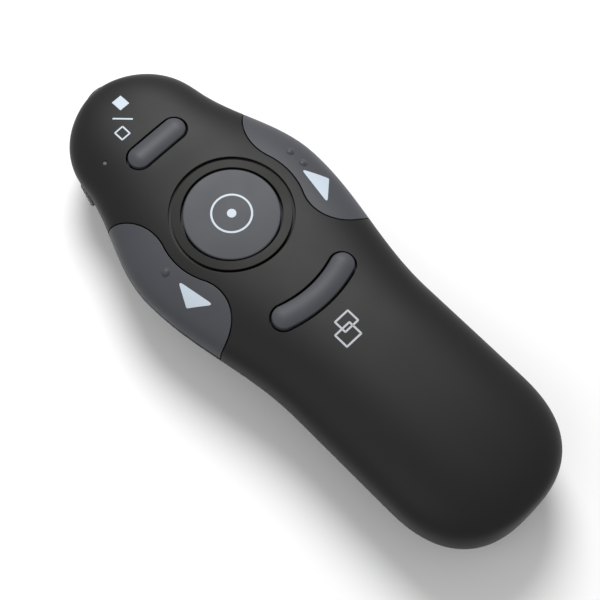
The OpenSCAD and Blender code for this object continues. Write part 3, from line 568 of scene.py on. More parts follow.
looks = dict(
    softCoat=dict(colour=(0.0052, 0.0052, 0.0051), worn=(0.018, 0.018, 0.018), rough=0.46,
                  bump=0.10, grain=5200.0, mottle=45.0, shine=0.17),
    trimBlack=dict(colour=(0.0082, 0.0085, 0.0075), worn=(0.02, 0.02, 0.019), rough=0.5,
                   bump=0.05, shine=0.14, edge=0.00006),
    keyCoat=dict(colour=(0.041, 0.043, 0.050), worn=(0.09, 0.095, 0.105), rough=0.5,
                 bump=0.06, grain=5200.0, mottle=90.0, shine=0.25, edge=0.00015),
    sliderGrey=dict(colour=(0.08, 0.083, 0.09), worn=(0.16, 0.165, 0.18), rough=0.5, bump=0.06),
    bareMoulding=dict(colour=(0.62, 0.59, 0.5), worn=(0.7, 0.68, 0.6), rough=0.45, shift=0.05),
    plainBlack=dict(colour=(0.011, 0.011, 0.012), worn=(0.03, 0.03, 0.03), rough=0.42),
    whiteInk=dict(colour=(0.41, 0.47, 0.53), worn=(0.41, 0.47, 0.53), rough=0.5, bump=0.03,
                  shift=0.05, edge=0.00001),
    greyInk=dict(colour=(0.34, 0.35, 0.38), worn=(0.34, 0.35, 0.38), rough=0.5, bump=0.03,
                 shift=0.08, edge=0.00001),
    lampPlastic=dict(colour=(0.07, 0.065, 0.065), worn=(0.08, 0.075, 0.075), rough=0.5,
                     shift=0.04, shine=0.2, edge=0.00002),
    turnedBrass=dict(colour=(0.72, 0.53, 0.22), worn=(0.8, 0.65, 0.35), rough=0.28, metal=1.0),
    sheetSteel=dict(colour=(0.60, 0.60, 0.60), worn=(0.75, 0.75, 0.74), rough=0.32, metal=1.0,
                    edge=0.00005),
    nickel=dict(colour=(0.68, 0.66, 0.61), worn=(0.8, 0.79, 0.75), rough=0.24, metal=1.0,
                edge=0.00005),
    blackScrew=dict(colour=(0.09, 0.09, 0.095), worn=(0.35, 0.35, 0.35), rough=0.36, metal=1.0,
                    edge=0.00006),
    cellJacket=dict(colour=(0.035, 0.042, 0.055), worn=(0.08, 0.09, 0.11), rough=0.24,
                    bump=0.015, shine=0.55),
)
paint = {name: finishOf(name, **values) for name, values in looks.items()}


def makeBoardFinish():
    made = finishOf("solderMask", (0.012, 0.10, 0.035), (0.03, 0.16, 0.07), 0.3, bump=0.02)
    tree = made.node_tree
    shader = tree.nodes["Principled BSDF"]
    place = tree.nodes.new("ShaderNodeTexCoord").outputs["Object"]
    lines = tree.nodes.new("ShaderNodeTexVoronoi")
    lines.feature, lines.distance = "F1", "CHEBYCHEV"
    lines.inputs["Scale"].default_value = 420.0
    tree.links.new(place, lines.inputs["Vector"])
    mask = spanned(tree, lines.outputs["Distance"], 0.30, 0.36, 0.0, 1.0)
    under = shader.inputs["Base Color"].links[0].from_socket
    tree.links.new(blendColours(tree, mask, under, (0.03, 0.20, 0.075)),
                   shader.inputs["Base Color"])
    return made


def makeLensFinish():
    made = finishOf("clearLens", (0.9, 0.93, 0.95), (0.95, 0.95, 0.95), 0.05, bump=0.0)
    shader = made.node_tree.nodes["Principled BSDF"]
    shader.inputs["Transmission Weight"].default_value = 0.9
    return made


paint["solderMask"] = makeBoardFinish()
paint["clearLens"] = makeLensFinish()
print("finishes ready")


# Where the surface is

def easeWidth(a, b, u):
    u = max(0.0, min(1.0, u))
    return a + (b - a) * (1 - math.cos(math.pi * u)) / 2


def plainWidth(y):
    if y > roundY:
        return easeWidth(body["head"], body["neck"],
                         (y - roundY) / (noseY - body["neckFromNose"] - roundY))
    return easeWidth(body["head"], body["handle"],
                     (roundY - y) / (roundY - noseY + body["waistFromNose"]))


def endRound(d, size, bend):
    return 1.0 if d >= size else max(0.0, 1 - ((size - d) / size) ** bend) ** (1 / bend)


def halfWidth(y):
    return plainWidth(y) * endRound(noseY - y, body["noseRound"], 2.0) \
        * endRound(y - tailY, body["tailRound"], 2.5)


def skinHeight(x, y, depth=0.0):
    # height of the upper skin, or of a surface that lies depth inside it
    p = body["squareness"]
    fade = max(0.0, 1 - (abs(y) / noseY) ** 5) ** 0.2
    wide = halfWidth(y) * (1 - depth / plainWidth(y))
    bend = max(0.0, 1 - (abs(x) / wide) ** p) ** (1 / p)
    return split + (body["crown"] - body["slope"] * (y - roundY) - depth) * fade * bend


def arcLine(centre, radius, start, end, steps):
    made = []
    for i in range(steps + 1):
        a = math.radians(start + (end - start) * i / steps)
        made.append((centre[0] + radius * math.cos(a), centre[1] + radius * math.sin(a)))
    return made


# Keys

keys = dict(
    roundRadius=9.9, gap=0.45, ringWidth=1.85, groove=0.6, wellHeight=21.0, domeRadius=160.0,
    barLength=14.3, barWidth=5.0, arcRadius=24.7, arcAngle=18.8, rise=0.75, crownRadius=5.0,
    wingGap=0.3, wingInner=15.3, wingFront=10.3, wingFrontAngle=17.5, wingRear=8.4,
    wingRearAngle=-25.5, wingThickness=1.6, wingLift=0.6, lip=0.8, lipReach=1.2, lipGap=0.25,
    skin=1.4, stemTop=18.1, faceDrop=0.1, rim=0.3, bumpRadius=1.15, bumpRise=0.46,
    nextBumps=((18.4, 2.4), (18.5, -1.3)), prevBumps=((17.5, 0.4),), wingPost=(16.4, -4.0, 2.0),
)
holeRadius = keys["roundRadius"] + keys["gap"]
ringRadius = holeRadius + keys["ringWidth"]
wellRadius = ringRadius + keys["groove"]


def barOutline(grown, steps=20):
    r = keys["barWidth"] / 2 + grown
    x = (keys["barLength"] - keys["barWidth"]) / 2
    straight = [(-x + 2 * x * i / steps, -r) for i in range(1, steps)]
    right = arcLine((x, 0), r, -90, 90, steps)
    back = [(x - 2 * x * i / steps, r) for i in range(1, steps)]
    left = arcLine((-x, 0), r, 90, 270, steps)
    return [(a, b + barY) for a, b in straight + right + back + left]


def arcOutline(grown, steps=36, cap=20):
    r = keys["barWidth"] / 2 + grown
    a0, a1 = 270 - keys["arcAngle"], 270 + keys["arcAngle"]
    ends = [tuple(keys["arcRadius"] * f(math.radians(a)) for f in (math.cos, math.sin))
            for a in (a0, a1)]
    outer = arcLine((0, 0), keys["arcRadius"] + r, a0, a1, steps)
    inner = arcLine((0, 0), keys["arcRadius"] - r, a1, a0, steps)
    right = arcLine(ends[1], r, a1, a1 + 180, cap)[1:-1]
    left = arcLine(ends[0], r, a0 - 180, a0, cap)[1:-1]
    return [(a, b + roundY) for a, b in outer + right + inner + left]


def wingOutline(grown, steps=40):
    k = keys
    out = body["head"] + 6

    def about(radius, angle):
        return (radius * math.cos(math.radians(angle)), radius * math.sin(math.radians(angle)))

    front = about(k["wingInner"] + k["wingFront"], k["wingFrontAngle"])
    rear = about(k["wingInner"] + k["wingRear"], k["wingRearAngle"])
    line = [(out, front[1] + k["wingFront"] + grown)]
    line += arcLine(front, k["wingFront"] + grown, 90, 180 + k["wingFrontAngle"], steps)
    line += arcLine((0, 0), k["wingInner"] - grown, k["wingFrontAngle"], k["wingRearAngle"],
                    steps)[1:-1]
    line += arcLine(rear, k["wingRear"] + grown, 180 + k["wingRearAngle"], 270, steps)
    line += [(out, rear[1] - k["wingRear"] - grown)]
    return [(a, b + roundY) for a, b in line]


def crownedKey(name, outline, crest, low, lipTop):
    # one closed key: its hollow underside, its lip, its wall and its crowned top
    half, bend, skin = keys["barWidth"] / 2, keys["crownRadius"], keys["skin"]
    roof = crest - 2 * skin
    side = crest - bend + math.sqrt(bend ** 2 - half ** 2)
    steps = [(-half, roof), (-skin, roof), (-skin, low), (keys["lipReach"], low),
             (keys["lipReach"], lipTop), (0.0, lipTop), (0.0, side - 0.42), (-0.02, side - 0.24),
             (-0.08, side - 0.08)]
    for i in range(1, 15):
        b = half * math.cos(math.pi / 2 * i / 15) - 0.16 * (1 - i / 15)
        steps.append((b - half, crest - bend + math.sqrt(bend ** 2 - b ** 2)))
    steps.append((-half, crest))
    rings = [[(x, y, z) for x, y in outline(grown)] for grown, z in steps]
    return loft(name, rings, capStart=False, capEnd=False)


def innerHeight(x, y):
    return skinHeight(x, y, body["wall"])


def keyTop(x, y):
    # height of the round key's dome
    r = math.hypot(x, y - roundY)
    return skinHeight(0, roundY) - keys["faceDrop"] - r * r / 2 / keys["domeRadius"]


def roundKey():
    k = keys
    r, lipR = k["roundRadius"], k["roundRadius"] + k["lipReach"]
    lipTop = min(innerHeight(lipR, roundY), innerHeight(0, roundY + lipR)) - k["lipGap"]
    rim, low = k["rim"], lipTop - k["lip"]
    roof = keyTop(0, roundY) - k["skin"] - rim

    def dome(a):
        return keyTop(0, roundY + a)

    profile = [(0, k["stemTop"]), (2, k["stemTop"]), (2, roof), (r - k["skin"], roof),
               (r - k["skin"], low), (lipR, low), (lipR, lipTop), (r, lipTop),
               (r, dome(r) - 0.4)]
    for i in range(1, 7):
        a = math.pi / 2 * i / 6
        profile.append((r - rim + rim * math.cos(a), dome(r - rim) - rim + rim * math.sin(a)))
    profile += [((r - rim) * i / 8, dome((r - rim) * i / 8)) for i in range(7, -1, -1)]
    return lathe("roundKey", profile, (0, roundY, 0), 128)


def trimRing():
    steps = 144
    shape = [(holeRadius, None), (holeRadius, -0.08), (holeRadius + 0.02, -0.02),
             (holeRadius + 0.08, 0.0), (ringRadius - 0.08, 0.0), (ringRadius - 0.02, -0.02),
             (ringRadius, -0.08), (ringRadius, None)]
    rings = []
    for r, drop in shape + shape[:1]:
        ring = []
        for j in range(steps):
            a = 2 * math.pi * j / steps
            x, y = r * math.cos(a), roundY + r * math.sin(a)
            z = keys["wellHeight"] if drop is None else skinHeight(x, y) - keys["faceDrop"] + drop
            ring.append((x, y, z))
        rings.append(ring)
    return loft("trimRing", rings, capStart=False, capEnd=False)


def skinLayer(t0, t1):
    layer = halfBody(t0)
    return carve(layer, halfBody(t1, 1, 1.0))


def wingKey(bumps):
    k = keys
    low, high = split + k["wingLift"], split + body["crown"] + 1
    lipIn = body["wall"] + k["lipGap"]
    plate = carve(skinLayer(0, k["wingThickness"]), prism(wingOutline(0), low, high),
                  operation="INTERSECT")
    band = carve(prism(wingOutline(0), low, high), prism(wingOutline(-1.2), low - 1, high + 1))
    wall = carve(skinLayer(k["wingThickness"] - 0.2, lipIn + k["lip"]), band,
                 operation="INTERSECT")
    band = carve(prism(wingOutline(k["lipReach"]), low, high),
                 prism(wingOutline(-0.3), low - 1, high + 1))
    lip = carve(skinLayer(lipIn, lipIn + k["lip"]), band, operation="INTERSECT")
    x, y, r = k["wingPost"]
    post = carve(rod((x, roundY + y, 0), r, k["stemTop"], 24),
                 halfBody(k["wingThickness"] / 2), operation="INTERSECT")
    carve(post, prism(wingOutline(0), low, high), operation="INTERSECT")
    domes = []
    for x, y in bumps:
        r, y = k["bumpRadius"], y + roundY
        profile = [(0, 0)] + [(r * math.cos(a), r * math.sin(a))
                              for a in [math.pi / 2 * i / 16 for i in range(16)]] + [(0, r)]
        domes.append(lathe("dome", profile, (x, y, skinHeight(x, y) + k["bumpRise"] - r), 48))
    return carve(plate, wall, lip, post, *domes, operation="UNION")


dress(roundKey(), "laserKey", "keyCoat", "laser_key", "key_plastic", "laser_button")
dress(trimRing(), "trimRing", "trimBlack", "shell", "ring_plastic", "button_ring")
arcEnd = keys["arcRadius"] * math.sin(math.radians(keys["arcAngle"]))
for name, outline, y, end, side in (
        ("blank", barOutline, barY, keys["barLength"] / 2, keys["barWidth"] / 2 + keys["lipReach"]),
        ("window", arcOutline, roundY - keys["arcRadius"], arcEnd + keys["barWidth"] / 2, 0)):
    lipTop = innerHeight(end + keys["lipReach"], y + side) - keys["lipGap"]
    crest = skinHeight(0, y) + keys["rise"]
    key = crownedKey(name + "Key", outline, crest, lipTop - keys["lip"], lipTop)
    carve(key, rod((0, y, 0), keys["barWidth"] / 2 - 1.3, keys["stemTop"],
                   crest - 2 * keys["skin"] + 0.1), operation="UNION")
    dress(key, name + "Key", "keyCoat", name + "_key", "key_plastic", name + "_button")
dress(wingKey(keys["nextBumps"]), "nextKey", "keyCoat", "next_key", "key_plastic", "next_button")
dress(flip(wingKey(keys["prevBumps"])), "prevKey", "keyCoat", "prev_key", "key_plastic",
      "prev_button")
print("keys made")


# Printed marks

def roundedLoop(corners, radius, steps=6, perSide=8):
    # a closed line through the corners, each one rounded off
    points = [Vector(corner).to_2d() for corner in corners]
    bends, line = [], []
    for i, corner in enumerate(points):
        before, after = points[i - 1] - corner, points[(i + 1) % len(points)] - corner
        a, b = before.normalized(), after.normalized()
        half = math.acos(max(-1, min(1, a.dot(b)))) / 2
        reach = min(radius / math.tan(half), before.length * 0.45, after.length * 0.45)
        bends.append((corner + a * reach, corner, corner + b * reach))
    for i, (first, corner, last) in enumerate(bends):
        following = bends[(i + 1) % len(bends)][0]
        for t in (j / steps for j in range(steps + 1)):
            line.append(first * (1 - t) ** 2 + corner * 2 * t * (1 - t) + last * t ** 2)
        line += [last.lerp(following, j / perSide) for j in range(1, perSide)]
    return [tuple(p) for p in line]


def inkPatch(loops, height, full=False, lift=0.035, sink=0.03):
    # a thin film of ink over the surface, from loops that go inwards. A full one has no hole
    count = len(loops[0])
    points, faces = [], []
    for level in (lift, -sink):
        for loop in loops:
            points += [(x, y, height(x, y) + level) for x, y in loop]
    size = len(loops) * count
    for k in range(len(loops) - 1):
        for j in range(count):
            a, b = k * count + j, k * count + (j + 1) % count
            faces.append((a, b, b + count, a + count))
            faces.append((size + a, size + a + count, size + b + count, size + b))
    if full:
        middle = size - count
        faces.append(tuple(range(middle, size)))
        faces.append(tuple(reversed(range(size + middle, 2 * size))))
    for k in (0,) if full else (0, len(loops) - 1):
        for j in range(count):
            a, b = k * count + j, k * count + (j + 1) % count
            faces.append((a, b, size + b, size + a))
    return solid("ink", points, faces)


def filled(loop, height):
    cx = sum(p[0] for p in loop) / len(loop)
    cy = sum(p[1] for p in loop) / len(loop)
    loops = [[(cx + (x - cx) * t, cy + (y - cy) * t) for x, y in loop]
             for t in (1, 0.8, 0.6, 0.4, 0.2, 0.05)]
    return inkPatch(loops, height, full=True)


def stroke(loop, width, height):
    # a closed line of even width, drawn about the loop
    count = len(loop)
    inner, outer = [], []
    for i in range(count):
        p, q, r = (Vector(loop[(i + j) % count]) for j in (-1, 0, 1))
        ahead, behind = (r - q).normalized(), (q - p).normalized()
        side = Vector((ahead.y + behind.y, -ahead.x - behind.x))
        side = side.normalized() if side.length > 1e-6 else Vector((ahead.y, -ahead.x))
        spread = width / 2 / max(0.5, side.dot(Vector((behind.y, -behind.x))))
        outer.append(tuple(q + side * spread))
        inner.append(tuple(q - side * spread))
    return inkPatch([outer, inner], height)


def boxLoop(centre, wide, high):
    return [(centre[0] + x * wide / 2, centre[1] + y * high / 2)
            for x, y in ((-1, -1), (1, -1), (1, 1), (-1, 1))]


marks = dict(
    filledSquare=((1.1, 55.0), 2.43, 2.8), openSquare=((-3.45, 49.2), 2.1, 2.3), line=0.34,
    slash=((-2.6, 53.3), (0.28, 50.15)), slashHalf=0.18, frontWindow=((0.05, -12.45), 3.5, 2.85),
    rearWindow=((-1.65, -14.6), 3.9, 3.25), windowLine=0.4,
    rightArrow=((17.3, 17.75), (15.7, 8.55), (20.35, 12.7)),
    leftArrow=((-17.2, 17.25), (-19.75, 12.15), (-15.7, 8.5)),
    pointerRing=4.1, pointerLine=0.42, pointerDot=0.95,
)


def makeMarks():
    m = marks
    a, b = (Vector(p) for p in m["slash"])
    side = (b - a).normalized().orthogonal() * m["slashHalf"]
    shell = [filled(roundedLoop(boxLoop(*m["filledSquare"]), 0.12), skinHeight),
             stroke(roundedLoop(boxLoop(*m["openSquare"]), 0.1), m["line"], skinHeight),
             filled(roundedLoop([a - side, b - side, b + side, a + side], 0.08), skinHeight)]
    window = [stroke(roundedLoop(boxLoop(*m[name]), 0.12), m["windowLine"], skinHeight)
              for name in ("frontWindow", "rearWindow")]
    pointer = [stroke(arcLine((0, roundY), m["pointerRing"], 0, 355, 71), m["pointerLine"], keyTop),
               filled(arcLine((0, roundY), m["pointerDot"], 0, 350, 35), keyTop)]
    for name, parts, ink, carrier in (
            ("shellMarks", shell, "whiteInk", "shell"), ("windowMark", window, "greyInk", "shell"),
            ("nextArrow", [filled(roundedLoop(m["rightArrow"], 0.42), skinHeight)], "whiteInk",
             "next_key"),
            ("prevArrow", [filled(roundedLoop(m["leftArrow"], 0.42), skinHeight)], "whiteInk",
             "prev_key"),
            ("pointerMark", pointer, "whiteInk", "laser_key")):
        dress(together(name, parts), name, ink, carrier, "mark_ink")


makeMarks()
print("marks printed")


# Shells

shells = dict(
    frontPost=(9.0, noseY - 10), rearPost=(12.0, tailY + 12.5), postRadius=2.7, screwHole=0.8,
    seatHeight=6.5, headRadius=2.0, lampX=-10.4, lampY=noseY - 15.6, lampHole=0.5,
    noseNeck=3.3, noseCollar=4.0, ringLength=1.9, collarLength=0.8, ribThick=0.9, ribHigh=1.6,
    ribs=(4, 16, 28), boardPosts=((9.5, roundY + 13), (16.4, roundY - 11)), boardPost=1.8,
    boardRest=13.5, screwWay=1.1,
)
bay = dict(
    cellRadius=5.25, cellX=5.55, cellZ=7.0, clear=0.25, wall=1.2, deck=12.5, deckThick=0.9,
    rear=-42.1, front=6.85, doorThick=1.5, doorGap=0.25, doorSet=0.15, hookX=10.25, hookWide=2.0,
    hookZ=2.6, hookReach=1.4, hookThick=0.9, hookRoot=1.3, hookRoom=1.8, tabHalf=4.5,
    tabLength=2.0, thumbRadius=8.0, thumbDrop=7.1, grooves=5, grooveRadius=0.35, grooveHalf=4.0,
    grooveStep=1.6, grooveStart=3.5,
)
bay["half"] = bay["cellX"] + bay["cellRadius"] + bay["clear"]
bay["doorHalf"] = bay["half"] + bay["wall"] + 1
bay["doorFront"] = bay["front"] + bay["wall"] + 0.4
bay["doorRear"] = bay["rear"] - 0.6
dock = dict(
    caseWide=14.9, caseHigh=6.6, caseLong=7.2, caseRound=1.0, plugWide=12.0, plugHigh=4.5,
    plugLong=11.8, z=8.2, gap=0.2, wall=1.0, notch=0.45, notches=3, notchStep=1.3,
)
laser = dict(diameter=6.0, length=11.8, front=noseY - 2.0, cradleHalf=4.6, cradleThick=1.2)


slider = dict(
    y=noseY - 15.0, half=2.5, proud=1.05, flush=-0.3, sink=0.65, low=split - 2.4,
    high=split - 0.5, ribs=5, pitch=1.0, ribRadius=0.25, edge=0.12, neckHalf=1.4,
    neckLow=split - 2.2, neckReach=3.05, forkHalf=0.85, forkStart=1.6, fork=(12.2, 13.1),
    pocket=(-4.7, 2.7, 0.8), slot=(-3.6, 1.6, 3.4),
)


def posts(radius, low, high):
    return [rod((s * x, y, 0), radius, low, high)
            for x, y in (shells["frontPost"], shells["rearPost"]) for s in (-1, 1)]


def noseBore():
    s = shells
    step = noseY - s["ringLength"] + s["collarLength"]
    front = laser["front"]
    return [rod((0, 0, split), s["noseNeck"], step - 0.2, noseY + 1, 64, "Y"),
            rod((0, 0, split), s["noseCollar"], step - s["collarLength"] - 0.1, step, 64, "Y"),
            rod((0, 0, split), laser["diameter"] / 2 + 0.05, front - laser["length"] - 1,
                step - 0.4, 64, "Y")]


def upperShell():
    s = shells
    top = split + 12
    inside = halfBody(body["wall"], 1, 1.0)
    ribs = [block((-20, 20), (y, y + s["ribThick"]), (split + 4, top))
            for y in (noseY - body["waistFromNose"] - d for d in s["ribs"])]
    carve(inside, *ribs)
    # the hollow is all of the deep part, and the shallow part between the ribs
    carve(inside, halfBody(body["wall"] + s["ribHigh"], 1, 1.0), operation="UNION")
    carve(inside, *[carve(post, halfBody(body["wall"] / 2), operation="INTERSECT")
                    for post in posts(s["postRadius"], split, top)])
    made = halfBody(0, 1, fine=True)
    carve(made, inside)
    carve(made, rod((0, roundY, 0), wellRadius, keys["wellHeight"], top + 4, 144))
    holes = [prism(barOutline(keys["gap"]), split + 2, top),
             prism(arcOutline(keys["gap"]), split + 2, top),
             rod((0, roundY, 0), holeRadius, split, top, 144),
             rod((s["lampX"], s["lampY"], 0), s["lampHole"], split, top, 32)]
    wing = prism(wingOutline(keys["wingGap"]), split - 3, top)
    holes += [wing, flip(twin(wing))]
    holes += posts(s["screwHole"], split - 1, split + 5)
    carve(made, *holes)
    carve(made, *noseBore())
    return made


def doorPrism(grown, low, high):
    side, tab = bay["doorHalf"] + grown, bay["tabHalf"] + grown
    rear, front = bay["doorRear"] - grown, bay["doorFront"] + grown
    tip = bay["doorRear"] - bay["tabLength"] - grown
    return prism([(-side, rear), (-tab, rear), (-tab, tip), (tab, tip), (tab, rear),
                  (side, rear), (side, front), (-side, front)], low, high)


def dockSpace(grown):
    d = dock
    plugY = tailY + d["caseLong"]
    spaces = []
    for wide, high, rear, front in ((d["caseWide"], d["caseHigh"], tailY - 2, plugY + grown),
                                    (d["plugWide"], d["plugHigh"], plugY,
                                     plugY + d["plugLong"] + grown)):
        x, z = wide / 2 + grown, high / 2
        spaces.append(block((-x, x), (rear, front), (d["z"] - z - grown, d["z"] + z + grown)))
    return spaces


def lowerShell():
    b, s, d = bay, shells, dock
    side = b["half"] + b["wall"]
    # what stands inside: posts, bay walls and deck, dock, laser cradle and door ledge
    inside = posts(s["postRadius"], 0, split)
    inside.append(block((-side, side), (b["rear"] - b["wall"], b["front"] + b["wall"]),
                        (b["deck"], b["deck"] + b["deckThick"])))
    for sign in (-1, 1):
        ends = sorted((sign * b["half"], sign * side))
        inside.append(block(ends, (b["rear"] - b["wall"], b["front"] + b["wall"]),
                            (0, b["deck"] + b["deckThick"])))
        for x, y in s["boardPosts"]:
            inside.append(rod((sign * x, y, 0), s["boardPost"], 0, s["boardRest"]))
    for y in (b["rear"] - b["wall"], (b["rear"] + b["front"]) / 2, b["front"]):
        inside.append(block((-30, 30), (y, y + b["wall"]), (0, b["deck"] + b["deckThick"])))
    half = d["caseWide"] / 2 + d["gap"] + d["wall"]
    inside.append(block((-half, half), (tailY - 1, b["rear"]),
                        (0, d["z"] + d["caseHigh"] / 2 + d["gap"] + d["wall"])))
    rear = laser["front"] - laser["length"]
    for y in (rear + 1.5, laser["front"] - 2.5):
        inside.append(block((-laser["cradleHalf"], laser["cradleHalf"]),
                            (y, y + laser["cradleThick"]), (0, split)))
    ledge = carve(doorPrism(1.5, -1, 6), halfBody(body["wall"] + 1, -1))
    hollow = halfBody(body["wall"], -1, 1.0)
    carve(hollow, *inside)
    carve(hollow, ledge)
    made = halfBody(0, -1, fine=True)
    # the belly ends in a flat foot
    carve(made, block((-30, 30), (tailY - 1, noseY + 1), (-2, 0)))
    carve(made, hollow)
    carve(made, block((-b["half"], b["half"]), (b["rear"], b["front"]), (-1, b["deck"])))
    recess = carve(doorPrism(b["doorGap"], -1, 6),
                   halfBody(b["doorThick"] + b["clear"], -1))
    slots = []
    for sign in (-1, 1):
        x0 = sign * b["hookX"] - b["hookWide"] / 2 - b["doorGap"]
        x1 = sign * b["hookX"] + b["hookWide"] / 2 + b["doorGap"]
        for reach, low in ((b["doorGap"], -1), (b["hookReach"] + 0.5, b["hookZ"] - 0.2)):
            slots.append(block((x0, x1), (b["front"] - 1, b["doorFront"] + reach),
                               (low, b["hookZ"] + b["hookRoom"])))
    carve(made, recess)
    carve(made, *slots)
    thumb = rod((0, 0, 0), b["thumbRadius"], -b["tabHalf"] - 1.5, b["tabHalf"] + 1.5, 96)
    thumb.data.transform(Matrix.Translation(Vector((0, b["doorRear"] - b["tabLength"] - 1.5,
                                                    -b["thumbDrop"])) * mm)
                         @ Matrix.Rotation(math.pi / 2, 4, "Y"))
    carve(made, thumb)
    carve(made, *dockSpace(d["gap"]))
    carve(made, *posts(s["screwWay"], -1, split + 1), *posts(s["headRadius"], -1, s["seatHeight"]))
    y = slider["y"]
    wide = halfWidth(y)
    carve(made, *(block((-wide - 2, -wide + deep), (y + rear, y + front), (low, split + 1))
                  for (rear, front, deep), low in ((slider["pocket"], slider["low"] - 0.2),
                                                   (slider["slot"], slider["low"]))))
    carve(made, *noseBore())
    return made


def batteryDoor():
    b = bay
    made = halfBody(b["doorSet"], -1, fine=True)
    carve(made, halfBody(b["doorThick"], -1, 1.0))
    carve(made, doorPrism(0, b["doorSet"], 6), operation="INTERSECT")
    hooks = []
    for sign in (-1, 1):
        x = (sign * b["hookX"] - b["hookWide"] / 2, sign * b["hookX"] + b["hookWide"] / 2)
        for reach, low in ((0, 1.2), (b["hookReach"], b["hookZ"])):
            hooks.append(block(x, (b["doorFront"] - b["hookRoot"], b["doorFront"] + reach),
                               (low, b["hookZ"] + b["hookThick"])))
    carve(made, *hooks, operation="UNION")
    # a row of fine grooves to push the door by
    groove = rod((0, 0, 0), b["grooveRadius"], -b["grooveHalf"], b["grooveHalf"], 16)
    groove.data.transform(Matrix.Rotation(math.pi / 2, 4, "Y"))
    carve(made, row(groove, b["grooves"], (0, b["doorRear"] + b["grooveStart"], 0.0),
                    (0, b["grooveStep"], 0)))
    return made


dress(upperShell(), "upperShell", "softCoat", "shell", "soft_shell", "upper_shell")
print("upper shell made")
dress(lowerShell(), "lowerShell", "softCoat", "shell", "soft_shell", "lower_shell")
print("lower shell made")
dress(batteryDoor(), "batteryDoor", "softCoat", "door", "soft_shell", "battery_door")
print("door made")


# Slider, screws, springs, cells and receiver

def powerSlider():
    # a wedge that stands out towards the rear, with ribs along its sloping face
    s = slider
    wide, y = halfWidth(s["y"]), s["y"]
    inside = -wide + s["sink"]

    def face(u):
        return -wide + 0.25 - (s["flush"] * (1 + u) + s["proud"] * (1 - u)) / 2

    plan = [(inside, y - s["half"]), (inside, y + s["half"]), (face(1), y + s["half"]),
            (face(-1), y - s["half"])]
    pad = prism(plan, s["low"], s["high"])
    step = pad.modifiers.new("edges", "BEVEL")
    step.width, step.segments, step.limit_method = s["edge"] * mm, 3, "ANGLE"
    settle(pad)
    high, r = s["high"] - s["low"], s["ribRadius"]
    profile = [(0, 0), (r - 0.08, 0.02), (r, 0.15), (r, high - 0.15), (r - 0.08, high - 0.02),
               (0, high)]
    middle = (s["ribs"] - 1) / 2
    lean = (face(1) - face(-1)) / (2 * s["half"]) * s["pitch"]
    ribs = row(lathe("rib", profile, steps=24), s["ribs"],
               (face(0) - lean * middle, y - s["pitch"] * middle, s["low"]),
               (lean, s["pitch"], 0))
    neck = block((inside - 0.2, -wide + s["neckReach"]), (y - s["neckHalf"], y + s["neckHalf"]),
                 (s["neckLow"], s["high"]))
    carve(neck, block((-wide + s["forkStart"], 0), (y - s["forkHalf"], y + s["forkHalf"]),
                      s["fork"]))
    return carve(pad, ribs, neck, operation="UNION")


screw = dict(head=1.9, headHigh=1.4, under=1.5, shank=0.8, tip=0.3, length=8.95, slotHalf=1.15,
             slotWide=0.22, slotDeep=0.8)


def screwShape():
    s = screw
    base = shells["seatHeight"] - s["headHigh"]
    seat = base + s["headHigh"]
    end = seat + s["length"]
    profile = [(0, base), (s["under"], base), (s["head"] - 0.12, base + 0.1),
               (s["head"], base + 0.3), (s["head"], seat), (s["shank"], seat), (s["shank"], end),
               (s["tip"], end + 1.0), (0, end + 1.03)]
    made = lathe("screw", profile, steps=40)
    arms = [block((-s["slotHalf"], s["slotHalf"]), (-s["slotWide"], s["slotWide"]),
                  (base - 0.5, base + s["slotDeep"])) for _ in range(2)]
    arms[1].data.transform(Matrix.Rotation(math.pi / 2, 4, "Z"))
    return carve(made, *arms)


contact = dict(half=3.2, thick=0.4, low=-3.6, high=4.2, edge=0.08, turns=3.0, wideRadius=3.5,
               narrowRadius=2.2, coilHigh=2.55, wire=0.25)


def contactSheet(x, y, facing, coil):
    # a pressed sheet with a sprung or a dimpled middle, facing the cell's end
    c = contact
    plate = block((-c["half"], c["half"]), (-c["thick"], 0), (c["low"], c["high"]))
    step = plate.modifiers.new("edges", "BEVEL")
    step.width, step.segments = c["edge"] * mm, 2
    settle(plate)
    if coil:
        extra = grow("coil", coilTree, {
            "Turns": c["turns"], "Wide radius": c["wideRadius"] * mm,
            "Narrow radius": c["narrowRadius"] * mm, "Height": c["coilHigh"] * mm,
            "Wire": c["wire"] * mm})
        extra.data.transform(Matrix.Translation((0, 0.15 * mm, 0))
                             @ Matrix.Rotation(-math.pi / 2, 4, "X"))
        closeUp(extra)
    else:
        extra = lathe("dimple", [(0, 0.0), (2.2, 0.0), (1.9, 0.22), (1.4, 0.36), (1.0, 0.4),
                                 (0, 0.4)], steps=40, axis="Y")
    return inBay(together("contact", [plate, extra]), x, y, facing)


def inBay(piece, x, y, facing):
    # turns a part of the bay to face its cell and puts it in its place
    if facing < 0:
        piece.data.transform(Matrix.Rotation(math.pi, 4, "Z"))
    piece.data.transform(Matrix.Translation(Vector((x, y, bay["cellZ"])) * mm))
    return piece


cell = dict(length=44.5, nub=0.8, rim=4.1)


